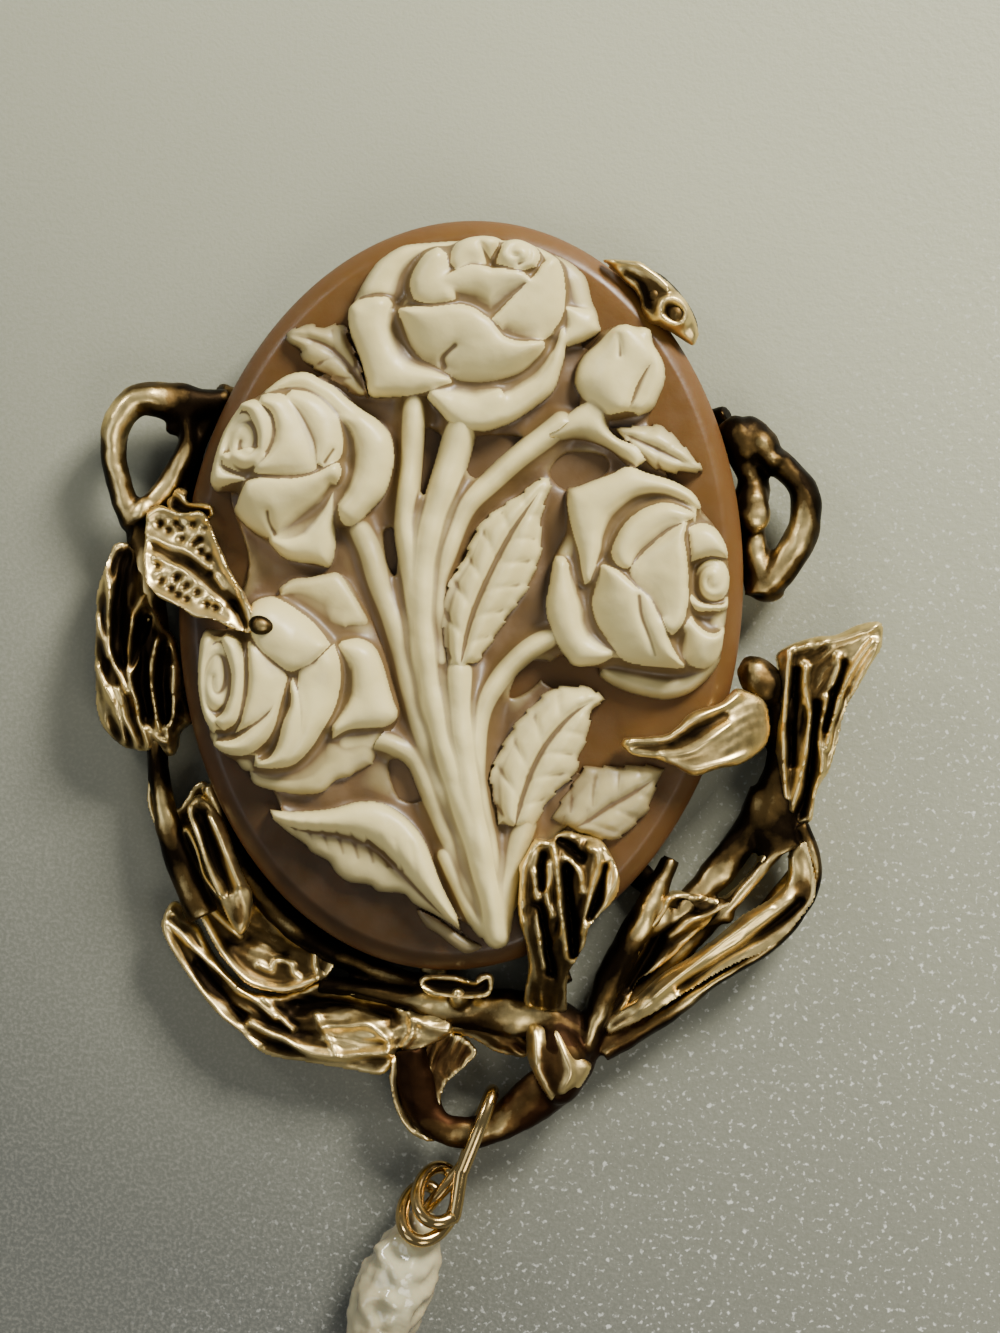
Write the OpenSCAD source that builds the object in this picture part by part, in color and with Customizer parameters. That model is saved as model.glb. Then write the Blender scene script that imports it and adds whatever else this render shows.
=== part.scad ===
// Oval cameo pendant: a rose bouquet carved on a stone plate, held in a cast vine frame,
// with a pearl drop on a wrapped wire. The pendant lies on its back. z = 0 is the surface
// it lies on, the middle of the stone is at x = 0, y = 0, and +Y is the pendant's top.
// All lengths are in millimetres.

/* [Stone] */
// Width of the oval stone
stone_w = 30; // [26:0.5:36]
// Height of the oval stone
stone_h = 40; // [35:0.5:46]
// Thickness of the stone plate
stone_thick = 3; // [2.4:0.1:4]
// Width of the bevel round the stone's face
bevel_w = 1; // [0.5:0.1:1.6]
// Depth of the bevel below the stone's face
bevel_deep = 1.1; // [0.5:0.1:1.8]

/* [Relief] */
// Height of the bouquet above the stone's face
relief_high = 3.4; // [2.6:0.1:4]
// Width of a full rose
rose_d = 10; // [9:0.1:10.6]
// Width of a stem
stem_w = 0.95; // [0.7:0.05:1.2]

/* [Frame] */
// Height of the rail behind the stone
rail_high = 1.2; // [0.9:0.1:2]
// Width of the rail
rail_w = 2; // [1.4:0.1:3]
// How far the rail's outer edge stays inside the stone's edge
rail_inset = 0.3; // [0.1:0.1:0.8]
// Thickness of a twig of the vine
twig_w = 1.3; // [1.1:0.05:1.5]
// Width of a full leaf of the vine
leaf_w = 4.4; // [3.8:0.1:4.8]
// Thickness of a leaf of the vine
leaf_thick = 0.8; // [0.6:0.05:1]

/* [Drop] */
// Thickness of the drop's wire
wire_d = 0.75; // [0.6:0.05:0.85]
// Length of the wire's eye
eye_long = 5.4; // [4.8:0.1:6.4]
// Width of the pearl
pearl_d = 4.1; // [3.6:0.1:4.8]
// Length of the pearl
pearl_long = 9; // [7:0.1:12]

/* [Fits] */
// Gap between the stone and what holds it
seat_gap = 0.1; // [0.05:0.01:0.15]
// Gap between the wire and what it passes round or through
wire_gap = 0.12; // [0.08:0.01:0.16]

/* [Hidden] */

half_w = stone_w / 2;
half_h = stone_h / 2;
stone_z = rail_high + seat_gap;
face_z = stone_z + stone_thick;
relief_z = face_z + seat_gap / 2;

oval_sides = 60;
lump_sides = 12;
twig_sides = 6;
knob_sides = 10;
tie_sides = 8;
wire_sides = 6;
pearl_sides = 48;
drill_sides = 24;

// Height from a share: up to 1 it runs from the back to the stone's face, and from 1 to 2
// it runs on from the face to the top of the bouquet
function height(up) = up < 1 ? up * face_z : face_z + (up - 1) * relief_high;

// Place from shares of half the stone's width and height, and of the height above
function place(row) = [row[0] * half_w, row[1] * half_h, height(row[2])];

function unit(v) = v / norm(v);
function row_at(rows, k) = rows[min(max(k, 0), len(rows) - 1)];

// A curve through four rows, between the middle two
function between(a, b, c, d, t) =
    0.5 * (2 * b + (c - a) * t + (2 * a - 5 * b + 4 * c - d) * pow(t, 2)
    + (3 * b - a - 3 * c + d) * pow(t, 3));

// A table with steps - 1 smooth rows added between each two of its own
function smooth(rows, steps) = [
    for (k = [0 : len(rows) - 2], s = [0 : steps - 1])
        between(row_at(rows, k - 1), rows[k], rows[k + 1], row_at(rows, k + 2), s / steps),
    rows[len(rows) - 1]
];

// A closed skin over rings that all have as many points
module loft(rings) {
    n = len(rings[0]);
    last = len(rings) - 1;
    sides = [for (i = [0 : last - 1], j = [0 : n - 1]) each [
        [i * n + j, (i + 1) * n + j, i * n + (j + 1) % n],
        [(i + 1) * n + j, (i + 1) * n + (j + 1) % n, i * n + (j + 1) % n]]];
    foot = [for (j = [0 : n - 1]) j];
    head = [for (j = [n - 1 : -1 : 0]) last * n + j];
    polyhedron(points = [for (ring = rings) each ring], faces = concat(sides, [foot, head]));
}

// The sideways and the upward direction at one row of a path
function path_axes(points, k) =
    let (ahead = unit(row_at(points, k + 1) - row_at(points, k - 1)),
         side = unit(cross(ahead, [0, 0, 1])))
    [side, cross(side, ahead)];

// Points of a round section, in the order that the skin needs
function circle_points(sides) = [for (j = [0 : sides - 1]) [cos(360 * j / sides), -sin(360 * j / sides)]];

module oval_plate(w, h, thick) {
    scale([w, h, 1]) cylinder(h = thick, d = 1, $fn = oval_sides);
}

// The stone's own shape, grown all round by a gap
module stone_shape(gap) {
    hull() {
        oval_plate(stone_w + 2 * gap, stone_h + 2 * gap, stone_thick - bevel_deep + gap);
        oval_plate(stone_w - 2 * bevel_w + 2 * gap, stone_h - 2 * bevel_w + 2 * gap, stone_thick + gap);
    }
}

// Bouquet

// Petals of one rose. A rose faces along "ahead". Lengths are shares of its half width,
// and the height is a share of the rose's height
// side, ahead, half wide, half long, turn, high
petals = [
    [0.00, 0.02, 0.93, 0.92, 0, 0.40],
    [-0.78, -0.10, 0.28, 0.60, 8, 0.54],
    [-0.60, 0.50, 0.40, 0.42, 0, 0.38],
    [0.72, 0.28, 0.28, 0.56, -8, 0.36],
    [0.12, -0.66, 0.62, 0.34, 4, 0.56],
    [-0.48, -0.58, 0.42, 0.30, -18, 0.60],
    [0.04, 0.05, 0.70, 0.70, 0, 0.84],
    [0.02, -0.14, 0.62, 0.44, 0, 0.92],
    [0.08, 0.48, 0.52, 0.46, 0, 1.00]
];

// across, along, wide, tall, facing, high
roses = [
    [0.00, 0.70, 1.30, 1.04, 0, 1.00],
    [-0.59, 0.31, 1.00, 0.96, 90, 0.92],
    [-0.56, -0.27, 1.12, 0.98, 90, 0.80],
    [0.64, 0.06, 1.16, 0.95, -90, 0.95]
];

// Rounded forms beside the roses: the rosebud, its cup, and low petals that link the roses
// across, along, half wide, half tall, turn, high
lumps = [
    [0.49, 0.62, 0.145, 0.12, -20, 0.60],
    [0.38, 0.49, 0.10, 0.07, 40, 0.50],
    [-0.55, 0.02, 0.12, 0.06, 20, 0.36],
    [-0.50, -0.50, 0.17, 0.05, 0, 0.30]
];

// Leaves, from base to tip. Width as a share of the rose's width
// across, along, across at the middle, along at the middle, across at the tip, along at the tip,
// wide, high
leaves = [
    [0.02, -0.28, 0.13, 0.06, 0.27, 0.32, 0.50, 0.62],
    [0.20, -0.74, 0.34, -0.42, 0.54, -0.24, 0.54, 0.46],
    [0.24, -0.73, 0.56, -0.52, 0.77, -0.40, 0.46, 0.28],
    [0.15, -0.87, -0.20, -0.68, -0.61, -0.61, 0.56, 0.46],
    [-0.34, 0.56, -0.54, 0.60, -0.69, 0.64, 0.36, 0.26],
    [0.46, 0.46, 0.66, 0.44, 0.82, 0.37, 0.32, 0.40],
    [0.18, -0.92, 0.08, -0.89, -0.05, -0.85, 0.20, 0.16]
];

// Stems, from the foot of the bundle up to a flower. Width as a share of the stem's width
// across and along, four times over, then wide, high
stems = [
    [0.20, -0.87, 0.01, -0.52, -0.22, -0.08, -0.34, 0.16, 0.90, 0.40],
    [0.21, -0.87, 0.05, -0.50, -0.17, 0.02, -0.25, 0.44, 1.10, 0.52],
    [0.22, -0.87, 0.08, -0.50, -0.13, 0.06, -0.06, 0.42, 1.25, 0.60],
    [0.23, -0.87, 0.10, -0.48, -0.07, 0.12, 0.32, 0.48, 1.00, 0.54],
    [0.24, -0.86, 0.13, -0.52, 0.10, -0.28, 0.37, -0.08, 1.00, 0.44],
    [0.18, -0.86, 0.01, -0.60, -0.08, -0.44, -0.26, -0.40, 1.00, 0.34],
    [0.23, -0.87, 0.15, -0.62, 0.06, -0.36, 0.02, -0.16, 1.20, 0.50]
];

// Thin layer of ivory left on the stone under the bouquet. Its edge runs under the flowers and
// leaves, and in its windows the carver cut through to the stone: across, along
ground_high = 0.10;
ground_edge = [
    [-0.20, 0.86], [0.20, 0.86], [0.36, 0.68], [0.60, 0.62], [0.62, 0.46], [0.78, 0.24], [0.84, 0.05],
    [0.74, -0.14], [0.44, -0.12], [0.30, -0.20], [0.46, -0.28], [0.44, -0.44], [0.66, -0.46],
    [0.40, -0.62], [0.22, -0.90], [0.12, -0.90], [-0.14, -0.76], [-0.50, -0.66], [-0.62, -0.54],
    [-0.80, -0.36], [-0.82, -0.16], [-0.60, 0.00], [-0.84, 0.24], [-0.72, 0.46], [-0.52, 0.56],
    [-0.36, 0.60]
];
windows = [
    [[-0.17, 0.28], [-0.12, 0.28], [-0.10, 0.41], [-0.16, 0.41]],
    [[0.02, 0.30], [0.12, 0.36], [0.19, 0.42], [0.04, 0.42]],
    [[0.34, 0.34], [0.44, 0.35], [0.42, 0.41], [0.35, 0.39]],
    [[-0.265, 0.03], [-0.235, 0.03], [-0.235, 0.15], [-0.29, 0.15]],
    [[-0.21, -0.46], [-0.12, -0.45], [-0.05, -0.54], [-0.16, -0.55]]
];

// A rounded form is two stacked drums: up as a share of its height, then its width at the
// foot and at that height as shares of its half width
lump_drums = [[0.6, 1.00, 0.92], [1.0, 0.50, 0.46]];

// How a carved leaf grows along its length: share of its width, share of its height
leaf_growth = [[0.12, 0.5], [0.75, 0.95], [0.85, 0.9], [0.1, 0.5]];

// Half sections: out from the middle, up as a share of the height
leaf_half = [[-1, 0], [-0.86, 0.62], [-0.2, 0.72], [0, 1], [0.2, 0.72], [0.86, 0.62], [1, 0]];
stem_half = [[-1, 0], [-0.75, 0.7], [0, 1], [0.75, 0.7], [1, 0]];

// One carved ridge on the face: rows of across, along, half width, height
module ridge(rows, section) {
    points = [for (row = rows) [row[0] * half_w, row[1] * half_h, 0]];
    loft([for (k = [0 : len(rows) - 1])
        let (side = path_axes(points, k)[0])
        [for (p = section) points[k] + side * p[0] * rows[k][2] + [0, 0, p[1] * rows[k][3]]]]);
}

module lump(row) {
    translate([row[0], row[1], 0]) rotate(row[4]) hull()
        for (drum = lump_drums)
            scale([row[2], row[3], row[5]])
                cylinder(h = drum[0], r1 = drum[1], r2 = drum[2], $fn = lump_sides);
}

module rose(row) {
    translate([row[0] * half_w, row[1] * half_h, 0]) rotate(row[4])
        scale([row[2] * rose_d / 2, row[3] * rose_d / 2, row[5] * relief_high])
            for (petal = petals) lump(petal);
}

module outline(rows) {
    polygon([for (row = rows) [row[0] * half_w, row[1] * half_h]]);
}

module ground() {
    linear_extrude(ground_high * relief_high) difference() {
        outline(ground_edge);
        for (rows = windows) outline(rows);
    }
}

module rose_relief() {
    color("ivory") translate([0, 0, relief_z]) union() {
        ground();
        for (row = roses) rose(row);
        for (row = lumps)
            lump([row[0] * half_w, row[1] * half_h, row[2] * half_w, row[3] * half_h, row[4],
                row[5] * relief_high]);
        for (row = leaves) {
            // three rows in three steps and four rows in two steps both give seven rows
            spine = smooth([[row[0], row[1]], [row[2], row[3]], [row[4], row[5]]], 3);
            swell = smooth(leaf_growth, 2);
            ridge([for (k = [0 : len(swell) - 1]) [spine[k][0], spine[k][1],
                swell[k][0] * row[6] * rose_d / 2, swell[k][1] * row[7] * relief_high]], leaf_half);
        }
        for (row = stems) {
            spine = smooth([for (k = [0 : 3]) [row[2 * k], row[2 * k + 1]]], 4);
            ridge([for (p = spine) [p[0], p[1], row[8] * stem_w / 2, row[9] * relief_high]], stem_half);
        }
    }
}

module cameo_base() {
    color("peru") translate([0, 0, stone_z]) stone_shape(0);
}

// Vine frame

// The drop hangs level with the pearl's middle, so the hook's lower limb does too
drop_z = pearl_d / 2;
limb_up = drop_z / face_z;
limb_deep = 1.15;

// Twigs: across, along, up, wide, deep. Wide and deep are shares of the twig's thickness
left_ring = [
    [-0.89, 0.48, 0.42, 0.5, 1.0],
    [-1.05, 0.45, 0.58, 0.9, 1.3],
    [-1.20, 0.46, 0.66, 1.0, 1.6],
    [-1.29, 0.39, 0.62, 0.9, 1.6],
    [-1.28, 0.26, 0.55, 0.8, 1.5],
    [-1.19, 0.12, 0.50, 0.9, 1.3]
];
left_twig = [
    [-1.12, 0.42, 0.60, 0.4, 0.9],
    [-1.05, 0.36, 0.55, 0.4, 0.9],
    [-1.04, 0.28, 0.50, 0.5, 0.9],
    [-1.14, 0.20, 0.50, 0.6, 1.0],
    [-1.19, 0.14, 0.50, 0.8, 1.1]
];
left_bar = [
    [-0.92, 0.47, 0.34, 0.6, 1.2],
    [-0.98, 0.36, 0.34, 0.7, 1.4],
    [-1.03, 0.20, 0.36, 0.8, 1.4],
    [-1.08, 0.08, 0.42, 1.2, 1.5],
    [-1.19, 0.10, 0.48, 1.2, 1.3]
];
left_stem = [
    [-1.16, 0.12, 0.46, 1.4, 1.3],
    [-1.12, -0.06, 0.46, 1.5, 1.5],
    [-1.09, -0.25, 0.46, 1.5, 1.6],
    [-1.05, -0.44, 0.46, 1.0, 1.4],
    [-1.02, -0.58, 0.48, 0.9, 1.2],
    [-0.95, -0.74, 0.52, 1.2, 1.3],
    [-0.83, -0.91, 0.50, 1.3, 1.4]
];
left_edge = [
    [-0.85, -0.56, 0.50, 0.6, 1.3],
    [-0.77, -0.69, 0.46, 0.9, 1.5],
    [-0.63, -0.84, 0.42, 1.1, 1.6],
    [-0.44, -0.95, 0.38, 1.2, 1.6],
    [-0.22, -1.02, 0.32, 1.0, 1.3],
    [0.02, -1.08, 0.36, 1.2, 1.4]
];
bottom_bar = [
    [-0.40, -1.07, 0.40, 0.8, 1.2],
    [-0.20, -1.08, 0.44, 0.9, 1.3],
    [0.06, -1.10, 0.46, 1.6, 1.7],
    [0.28, -1.11, 0.46, 2.0, 1.9],
    [0.45, -1.11, 0.48, 1.7, 2.0],
    [0.58, -1.17, 0.48, 1.3, 1.8]
];
twig_a = [
    [0.57, -1.19, 0.52, 1.0, 1.8],
    [0.61, -1.06, 0.56, 1.2, 1.8],
    [0.67, -0.93, 0.60, 1.3, 1.8],
    [0.75, -0.80, 0.60, 1.2, 1.7],
    [0.82, -0.66, 0.52, 0.7, 1.2]
];
twig_b = [
    [1.14, -0.46, 0.46, 1.3, 1.5],
    [1.08, -0.58, 0.46, 1.3, 1.5],
    [0.98, -0.70, 0.46, 1.4, 1.5],
    [0.86, -0.80, 0.50, 1.1, 1.5],
    [0.75, -0.85, 0.54, 1.0, 1.5]
];
twig_bright = [
    [1.19, -0.62, 0.60, 0.6, 1.0],
    [1.10, -0.71, 0.68, 0.5, 0.8],
    [1.02, -0.79, 0.66, 0.6, 0.9],
    [0.93, -0.86, 0.56, 1.3, 1.4],
    [0.80, -0.98, 0.50, 1.3, 1.5],
    [0.66, -1.12, 0.46, 1.5, 1.6]
];
twig_c = [
    [1.31, -0.64, 0.50, 0.8, 1.2],
    [1.25, -0.71, 0.52, 0.9, 1.3],
    [1.16, -0.81, 0.56, 1.1, 1.4],
    [1.02, -0.91, 0.56, 1.3, 1.4],
    [0.88, -0.99, 0.54, 1.3, 1.4],
    [0.75, -1.08, 0.52, 1.4, 1.5],
    [0.61, -1.18, 0.50, 1.2, 1.5]
];
twig_outer = [
    [1.27, -0.54, 0.50, 0.7, 1.2],
    [1.34, -0.66, 0.52, 0.6, 1.2],
    [1.30, -0.77, 0.52, 0.6, 1.2],
    [1.18, -0.88, 0.50, 0.6, 1.2],
    [1.00, -0.98, 0.48, 0.6, 1.2],
    [0.82, -1.09, 0.46, 0.9, 1.2],
    [0.63, -1.19, 0.46, 0.9, 1.3]
];
right_stem = [
    [1.22, -0.62, 0.50, 1.8, 1.6],
    [1.17, -0.54, 0.50, 2.2, 1.6],
    [1.18, -0.38, 0.50, 1.2, 1.4],
    [1.16, -0.24, 0.55, 1.0, 1.4],
    [1.08, -0.16, 0.60, 1.2, 1.6]
];
right_foot = [
    [1.15, -0.30, 0.46, 1.0, 1.4],
    [1.04, -0.32, 0.36, 1.0, 1.4],
    [0.92, -0.36, 0.12, 1.2, 0.8]
];
right_bar = [
    [0.92, 0.49, 0.40, 0.9, 1.3],
    [0.98, 0.38, 0.40, 0.9, 1.5],
    [1.02, 0.26, 0.40, 0.8, 1.5],
    [1.04, 0.14, 0.42, 0.9, 1.5],
    [1.06, 0.07, 0.42, 0.8, 1.4]
];
right_ring = [
    [0.95, 0.48, 0.56, 1.0, 1.5],
    [1.08, 0.44, 0.60, 0.8, 1.3],
    [1.19, 0.37, 0.58, 0.8, 1.4],
    [1.21, 0.27, 0.56, 1.0, 1.6],
    [1.15, 0.16, 0.52, 1.0, 1.6],
    [1.06, 0.08, 0.46, 1.0, 1.4]
];
top_twig = [
    [0.45, 0.905, 0.40, 0.5, 1.2],
    [0.55, 0.89, 0.56, 0.8, 2.6],
    [0.64, 0.85, 0.60, 0.9, 3.4],
    [0.71, 0.79, 0.64, 0.9, 2.8],
    [0.75, 0.73, 0.60, 0.6, 1.2]
];
hook_limb = [
    [-0.06, -1.22, 0.42, 1.6, 1.6],
    [-0.02, -1.34, 0.42, 1.7, 1.5],
    [0.06, -1.42, limb_up, 1.3, limb_deep],
    [0.18, -1.435, limb_up, 1.3, limb_deep],
    [0.29, -1.40, limb_up, 1.5, limb_deep],
    [0.40, -1.33, limb_up, 2.0, 1.4],
    [0.50, -1.26, 0.48, 2.0, 1.7],
    [0.56, -1.17, 0.48, 1.5, 1.8]
];
bud = [
    [0.43, -1.12, 0.62, 0.8, 1.0],
    [0.47, -1.18, 0.72, 2.0, 1.7],
    [0.49, -1.24, 0.72, 2.2, 1.8],
    [0.49, -1.30, 0.66, 1.5, 1.4],
    [0.47, -1.33, 0.60, 0.4, 0.6]
];
twigs = [left_ring, left_twig, left_bar, left_stem, left_edge, bottom_bar, twig_a, twig_b,
    twig_bright, twig_c, twig_outer, right_stem, right_foot, right_bar, right_ring, top_twig,
    hook_limb, bud];

// Leaves: across, along, up, wide, curl. Wide is a share of the leaf's width. Curl lifts the
// leaf's edges, or lowers them on a pod, as a share of the same width
pitted_leaf = [
    [-1.16, 0.13, 0.62, 0.40, 0.02],
    [-1.05, 0.06, 1.14, 0.96, 0.05],
    [-0.95, 0.01, 1.44, 0.98, 0.05],
    [-0.84, -0.06, 1.66, 0.64, 0.04],
    [-0.75, -0.10, 1.76, 0.30, 0.02],
    [-0.68, -0.12, 1.78, 0.18, 0.00]
];
left_pod = [
    [-1.20, 0.06, 0.60, 0.40, -0.02],
    [-1.19, -0.05, 0.78, 0.84, -0.08],
    [-1.18, -0.18, 0.88, 1.00, -0.10],
    [-1.16, -0.32, 0.86, 0.98, -0.10],
    [-1.12, -0.43, 0.74, 0.80, -0.08],
    [-1.07, -0.485, 0.60, 0.44, -0.02]
];
hollow_leaf = [
    [-0.89, -0.59, 0.62, 0.24, 0.02],
    [-0.88, -0.68, 0.66, 0.50, 0.06],
    [-0.82, -0.79, 0.66, 0.72, 0.08],
    [-0.73, -0.90, 0.62, 0.84, 0.09],
    [-0.60, -0.99, 0.58, 0.84, 0.08],
    [-0.46, -1.045, 0.54, 0.50, 0.04]
];
long_leaf = [
    [-0.95, -0.90, 0.40, 0.16, 0.02],
    [-0.88, -1.00, 0.42, 0.42, 0.05],
    [-0.74, -1.11, 0.42, 0.60, 0.07],
    [-0.56, -1.18, 0.42, 0.70, 0.08],
    [-0.37, -1.21, 0.42, 0.78, 0.08],
    [-0.18, -1.20, 0.46, 0.78, 0.07],
    [-0.03, -1.175, 0.54, 0.60, 0.05],
    [0.09, -1.155, 0.62, 0.20, 0.02]
];
curled_tab = [
    [-0.03, -1.05, 0.86, 0.20, 0.04],
    [0.09, -1.045, 0.92, 0.28, 0.06],
    [0.21, -1.04, 0.90, 0.22, 0.04]
];
bottom_pod = [
    [0.41, -1.08, 0.72, 0.44, -0.02],
    [0.41, -0.99, 1.10, 0.60, -0.04],
    [0.42, -0.86, 1.52, 0.84, -0.06],
    [0.455, -0.74, 1.66, 1.12, -0.08],
    [0.465, -0.65, 1.62, 0.96, -0.06],
    [0.465, -0.605, 1.54, 0.50, -0.02]
];
smooth_leaf = [
    [0.61, -0.355, 1.44, 0.10, 0.00],
    [0.72, -0.355, 1.42, 0.24, -0.01],
    [0.83, -0.345, 1.44, 0.56, -0.03],
    [0.95, -0.315, 1.40, 0.80, -0.06],
    [1.06, -0.285, 1.10, 0.70, -0.06],
    [1.16, -0.28, 0.62, 0.34, -0.02]
];
folded_leaf = [
    [1.49, -0.01, 0.96, 0.16, 0.02],
    [1.41, -0.08, 0.90, 0.50, 0.06],
    [1.34, -0.17, 0.84, 0.66, 0.09],
    [1.29, -0.30, 0.78, 0.56, 0.09],
    [1.27, -0.43, 0.68, 0.40, 0.05],
    [1.25, -0.53, 0.58, 0.26, 0.02]
];
leaf_back = [
    [1.46, -0.005, 0.88, 0.14, 0.01],
    [1.33, -0.04, 0.80, 0.30, 0.04],
    [1.21, -0.09, 0.66, 0.42, 0.05],
    [1.19, -0.20, 0.58, 0.36, 0.04],
    [1.19, -0.36, 0.54, 0.30, 0.03],
    [1.21, -0.50, 0.52, 0.24, 0.01]
];
bowl = [
    [0.07, -1.14, 0.30, 0.60, 0.06],
    [0.09, -1.27, 0.24, 0.62, 0.10],
    [0.09, -1.41, 0.34, 0.44, 0.04]
];
vine_leaves = [pitted_leaf, left_pod, hollow_leaf, long_leaf, curled_tab, bottom_pod,
    smooth_leaf, folded_leaf, leaf_back, bowl];

// Section of a leaf: side, share of the curl, share of the thickness
leaf_section = [
    [-1, 1, 0.4], [-0.5, 0.3, 0.2], [0, 0, 0.6], [0.5, 0.3, 0.2], [1, 1, 0.4],
    [0.9, 0.9, -0.4], [0, 0, -0.5], [-0.9, 0.9, -0.4]
];

// Knuckles and ball ends: across, along, up, then the same of the other end, thick
knobs = [
    [-0.70, -0.12, 1.78, -0.66, -0.125, 1.80, 0.85],
    [-1.19, 0.14, 0.56, -1.15, 0.17, 0.60, 1.10],
    [-1.00, 0.42, 0.46, -1.07, 0.39, 0.52, 1.00],
    [0.97, 0.49, 0.60, 1.03, 0.455, 0.62, 1.15],
    [1.04, 0.10, 0.44, 1.11, 0.08, 0.46, 1.20],
    [0.59, 0.84, 1.04, 0.60, 0.82, 1.10, 0.75],
    [0.66, 0.79, 1.02, 0.68, 0.77, 1.06, 1.05],
    [1.06, -0.14, 0.70, 1.11, -0.19, 0.74, 1.70],
    [1.19, -0.21, 0.70, 1.20, -0.26, 0.66, 0.80],
    [1.01, -0.77, 0.66, 1.03, -0.80, 0.66, 0.85],
    [0.79, -0.78, 0.66, 0.81, -0.82, 0.66, 0.95],
    [0.57, -1.17, 0.56, 0.57, -1.21, 0.56, 1.10],
    [0.10, -1.06, 0.82, 0.12, -1.10, 0.50, 0.90]
];

// How much smaller the far end of a knob or a tie is
knob_taper = 0.8;

// Feet that tie the vine to the rail: turn round the oval, reach beyond the stone's edge
// as a share of the twig's thickness, thick
ties = [
    [55, 0.9, 0.9],
    [32, 0.7, 1.0],
    [10, 0.8, 1.0],
    [151, 0.7, 1.0],
    [172, 0.9, 1.1],
    [196, 1.2, 1.2],
    [223, 0.9, 1.1],
    [246, 0.9, 1.1],
    [270, 1.4, 1.3],
    [293, 1.9, 1.5],
    [315, 0.9, 1.2],
    [340, 1.6, 1.0]
];

module twig(rows) {
    path = smooth(rows, 2);
    points = [for (row = path) place(row)];
    loft([for (k = [0 : len(path) - 1])
        let (axes = path_axes(points, k))
        [for (p = circle_points(twig_sides)) points[k]
            + axes[0] * p[0] * path[k][3] * twig_w / 2
            + axes[1] * p[1] * path[k][4] * twig_w / 2]]);
}

module vine_leaf(rows) {
    path = smooth(rows, 2);
    points = [for (row = path) place(row)];
    loft([for (k = [0 : len(path) - 1])
        let (axes = path_axes(points, k))
        [for (p = leaf_section) points[k]
            + axes[0] * p[0] * path[k][3] * leaf_w / 2
            + axes[1] * (p[1] * path[k][4] * leaf_w + p[2] * leaf_thick)]]);
}

module knob(row) {
    hull() {
        translate(place(row)) sphere(d = row[6] * twig_w, $fn = knob_sides);
        translate(place([row[3], row[4], row[5]]))
            sphere(d = row[6] * twig_w * knob_taper, $fn = knob_sides);
    }
}

module tie(row) {
    edge = [cos(row[0]) * half_w, sin(row[0]) * half_h];
    out = unit([cos(row[0]) * half_h, sin(row[0]) * half_w]);
    hull() {
        translate(edge - out * (rail_inset + rail_w / 2))
            cylinder(h = rail_high, d = row[2] * twig_w, $fn = tie_sides);
        translate(edge + out * row[1] * twig_w)
            cylinder(h = rail_high, d = row[2] * twig_w * knob_taper, $fn = tie_sides);
    }
}

module rail() {
    outer_w = stone_w - 2 * rail_inset;
    outer_h = stone_h - 2 * rail_inset;
    difference() {
        oval_plate(outer_w, outer_h, rail_high);
        translate([0, 0, -rail_high])
            oval_plate(outer_w - 2 * rail_w, outer_h - 2 * rail_w, 3 * rail_high);
    }
}

module vine_frame() {
    color("darkgoldenrod") difference() {
        union() {
            rail();
            for (row = ties) tie(row);
            for (rows = twigs) twig(rows);
            for (rows = vine_leaves) vine_leaf(rows);
            for (row = knobs) knob(row);
        }
        translate([0, 0, stone_z - seat_gap / 2]) stone_shape(seat_gap);
    }
}

// Drop

// The drop leans from straight down, seen from above
drop_lean = 17;
hook_at = [0.205 * half_w, -1.43 * half_h, drop_z];
drop_down = [-sin(drop_lean), -cos(drop_lean), 0];
drop_side = [cos(drop_lean), -sin(drop_lean), 0];
eye_half = limb_deep * twig_w / 2 + 2 * wire_gap + wire_d / 2;

// Point of the drop: so far down, to the side and up from the hook's limb
function drop_point(down, side, up) = hook_at + drop_down * down + drop_side * side + [0, 0, up];

// The eye, from its foot round behind the limb and back over it.
// Down as a share of the eye's length, up as a share of its half height
eye_rows = [
    [0.36, -0.10],
    [0.30, -0.55],
    [0.16, -0.96],
    [-0.14, -1.00],
    [-0.37, -0.62],
    [-0.43, 0.00],
    [-0.37, 0.62],
    [-0.14, 1.00],
    [0.16, 1.02],
    [0.42, 0.96]
];

// Outline of the pearl: share of its length, share of its half width
pearl_rows = [
    [0.00, 0.30], [0.08, 0.54], [0.19, 0.74], [0.30, 0.90], [0.45, 1.00], [0.62, 0.97],
    [0.78, 0.84], [0.90, 0.63], [0.97, 0.42], [1.00, 0.30]
];
tucked = pearl_rows[2];

// The wire's end is wrapped round its neck in slanted turns. In front a turn passes over
// the pearl's narrow end, and behind it passes close to the neck
wrap_from = 40;
wrap_to = 640;
wrap_step = 30;
wrap_down = 0.60 * eye_long;
wrap_side = 1.60 * wire_d;
wrap_pitch = 1.60 * wire_d;
wrap_slant = 2.00 * wire_d;
wrap_front = tucked[1] * pearl_d / 2 + wire_gap + wire_d / 2;
wrap_back = 1.00 * wire_d + 2 * wire_gap;
wrap_up = (wrap_front + wrap_back) / 2;
wrap_lift = (wrap_front - wrap_back) / 2;

// The neck leads from the eye's foot through the wraps to the pearl, a little to one side
pearl_side = -1.0;
pearl_down = wrap_down + 1.25 * wrap_pitch + wrap_slant + wire_d / 2 + wire_gap
    - tucked[0] * pearl_long;
neck_top = 0.36 * eye_long;
head_long = 0.7 * wire_d;
head_wide = 1.9;

function neck_side(down) = pearl_side * (down - neck_top) / (pearl_down - neck_top);

wraps = [for (turn = [wrap_from : wrap_step : wrap_to])
    let (down = wrap_down + wrap_pitch * turn / 360, side = neck_side(down) + wrap_side * cos(turn))
    drop_point(down + wrap_slant * sin(turn), side, wrap_lift + wrap_up * sin(turn))];
eye = [for (row = smooth(eye_rows, 2)) drop_point(row[0] * eye_long, 0, row[1] * eye_half)];

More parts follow.
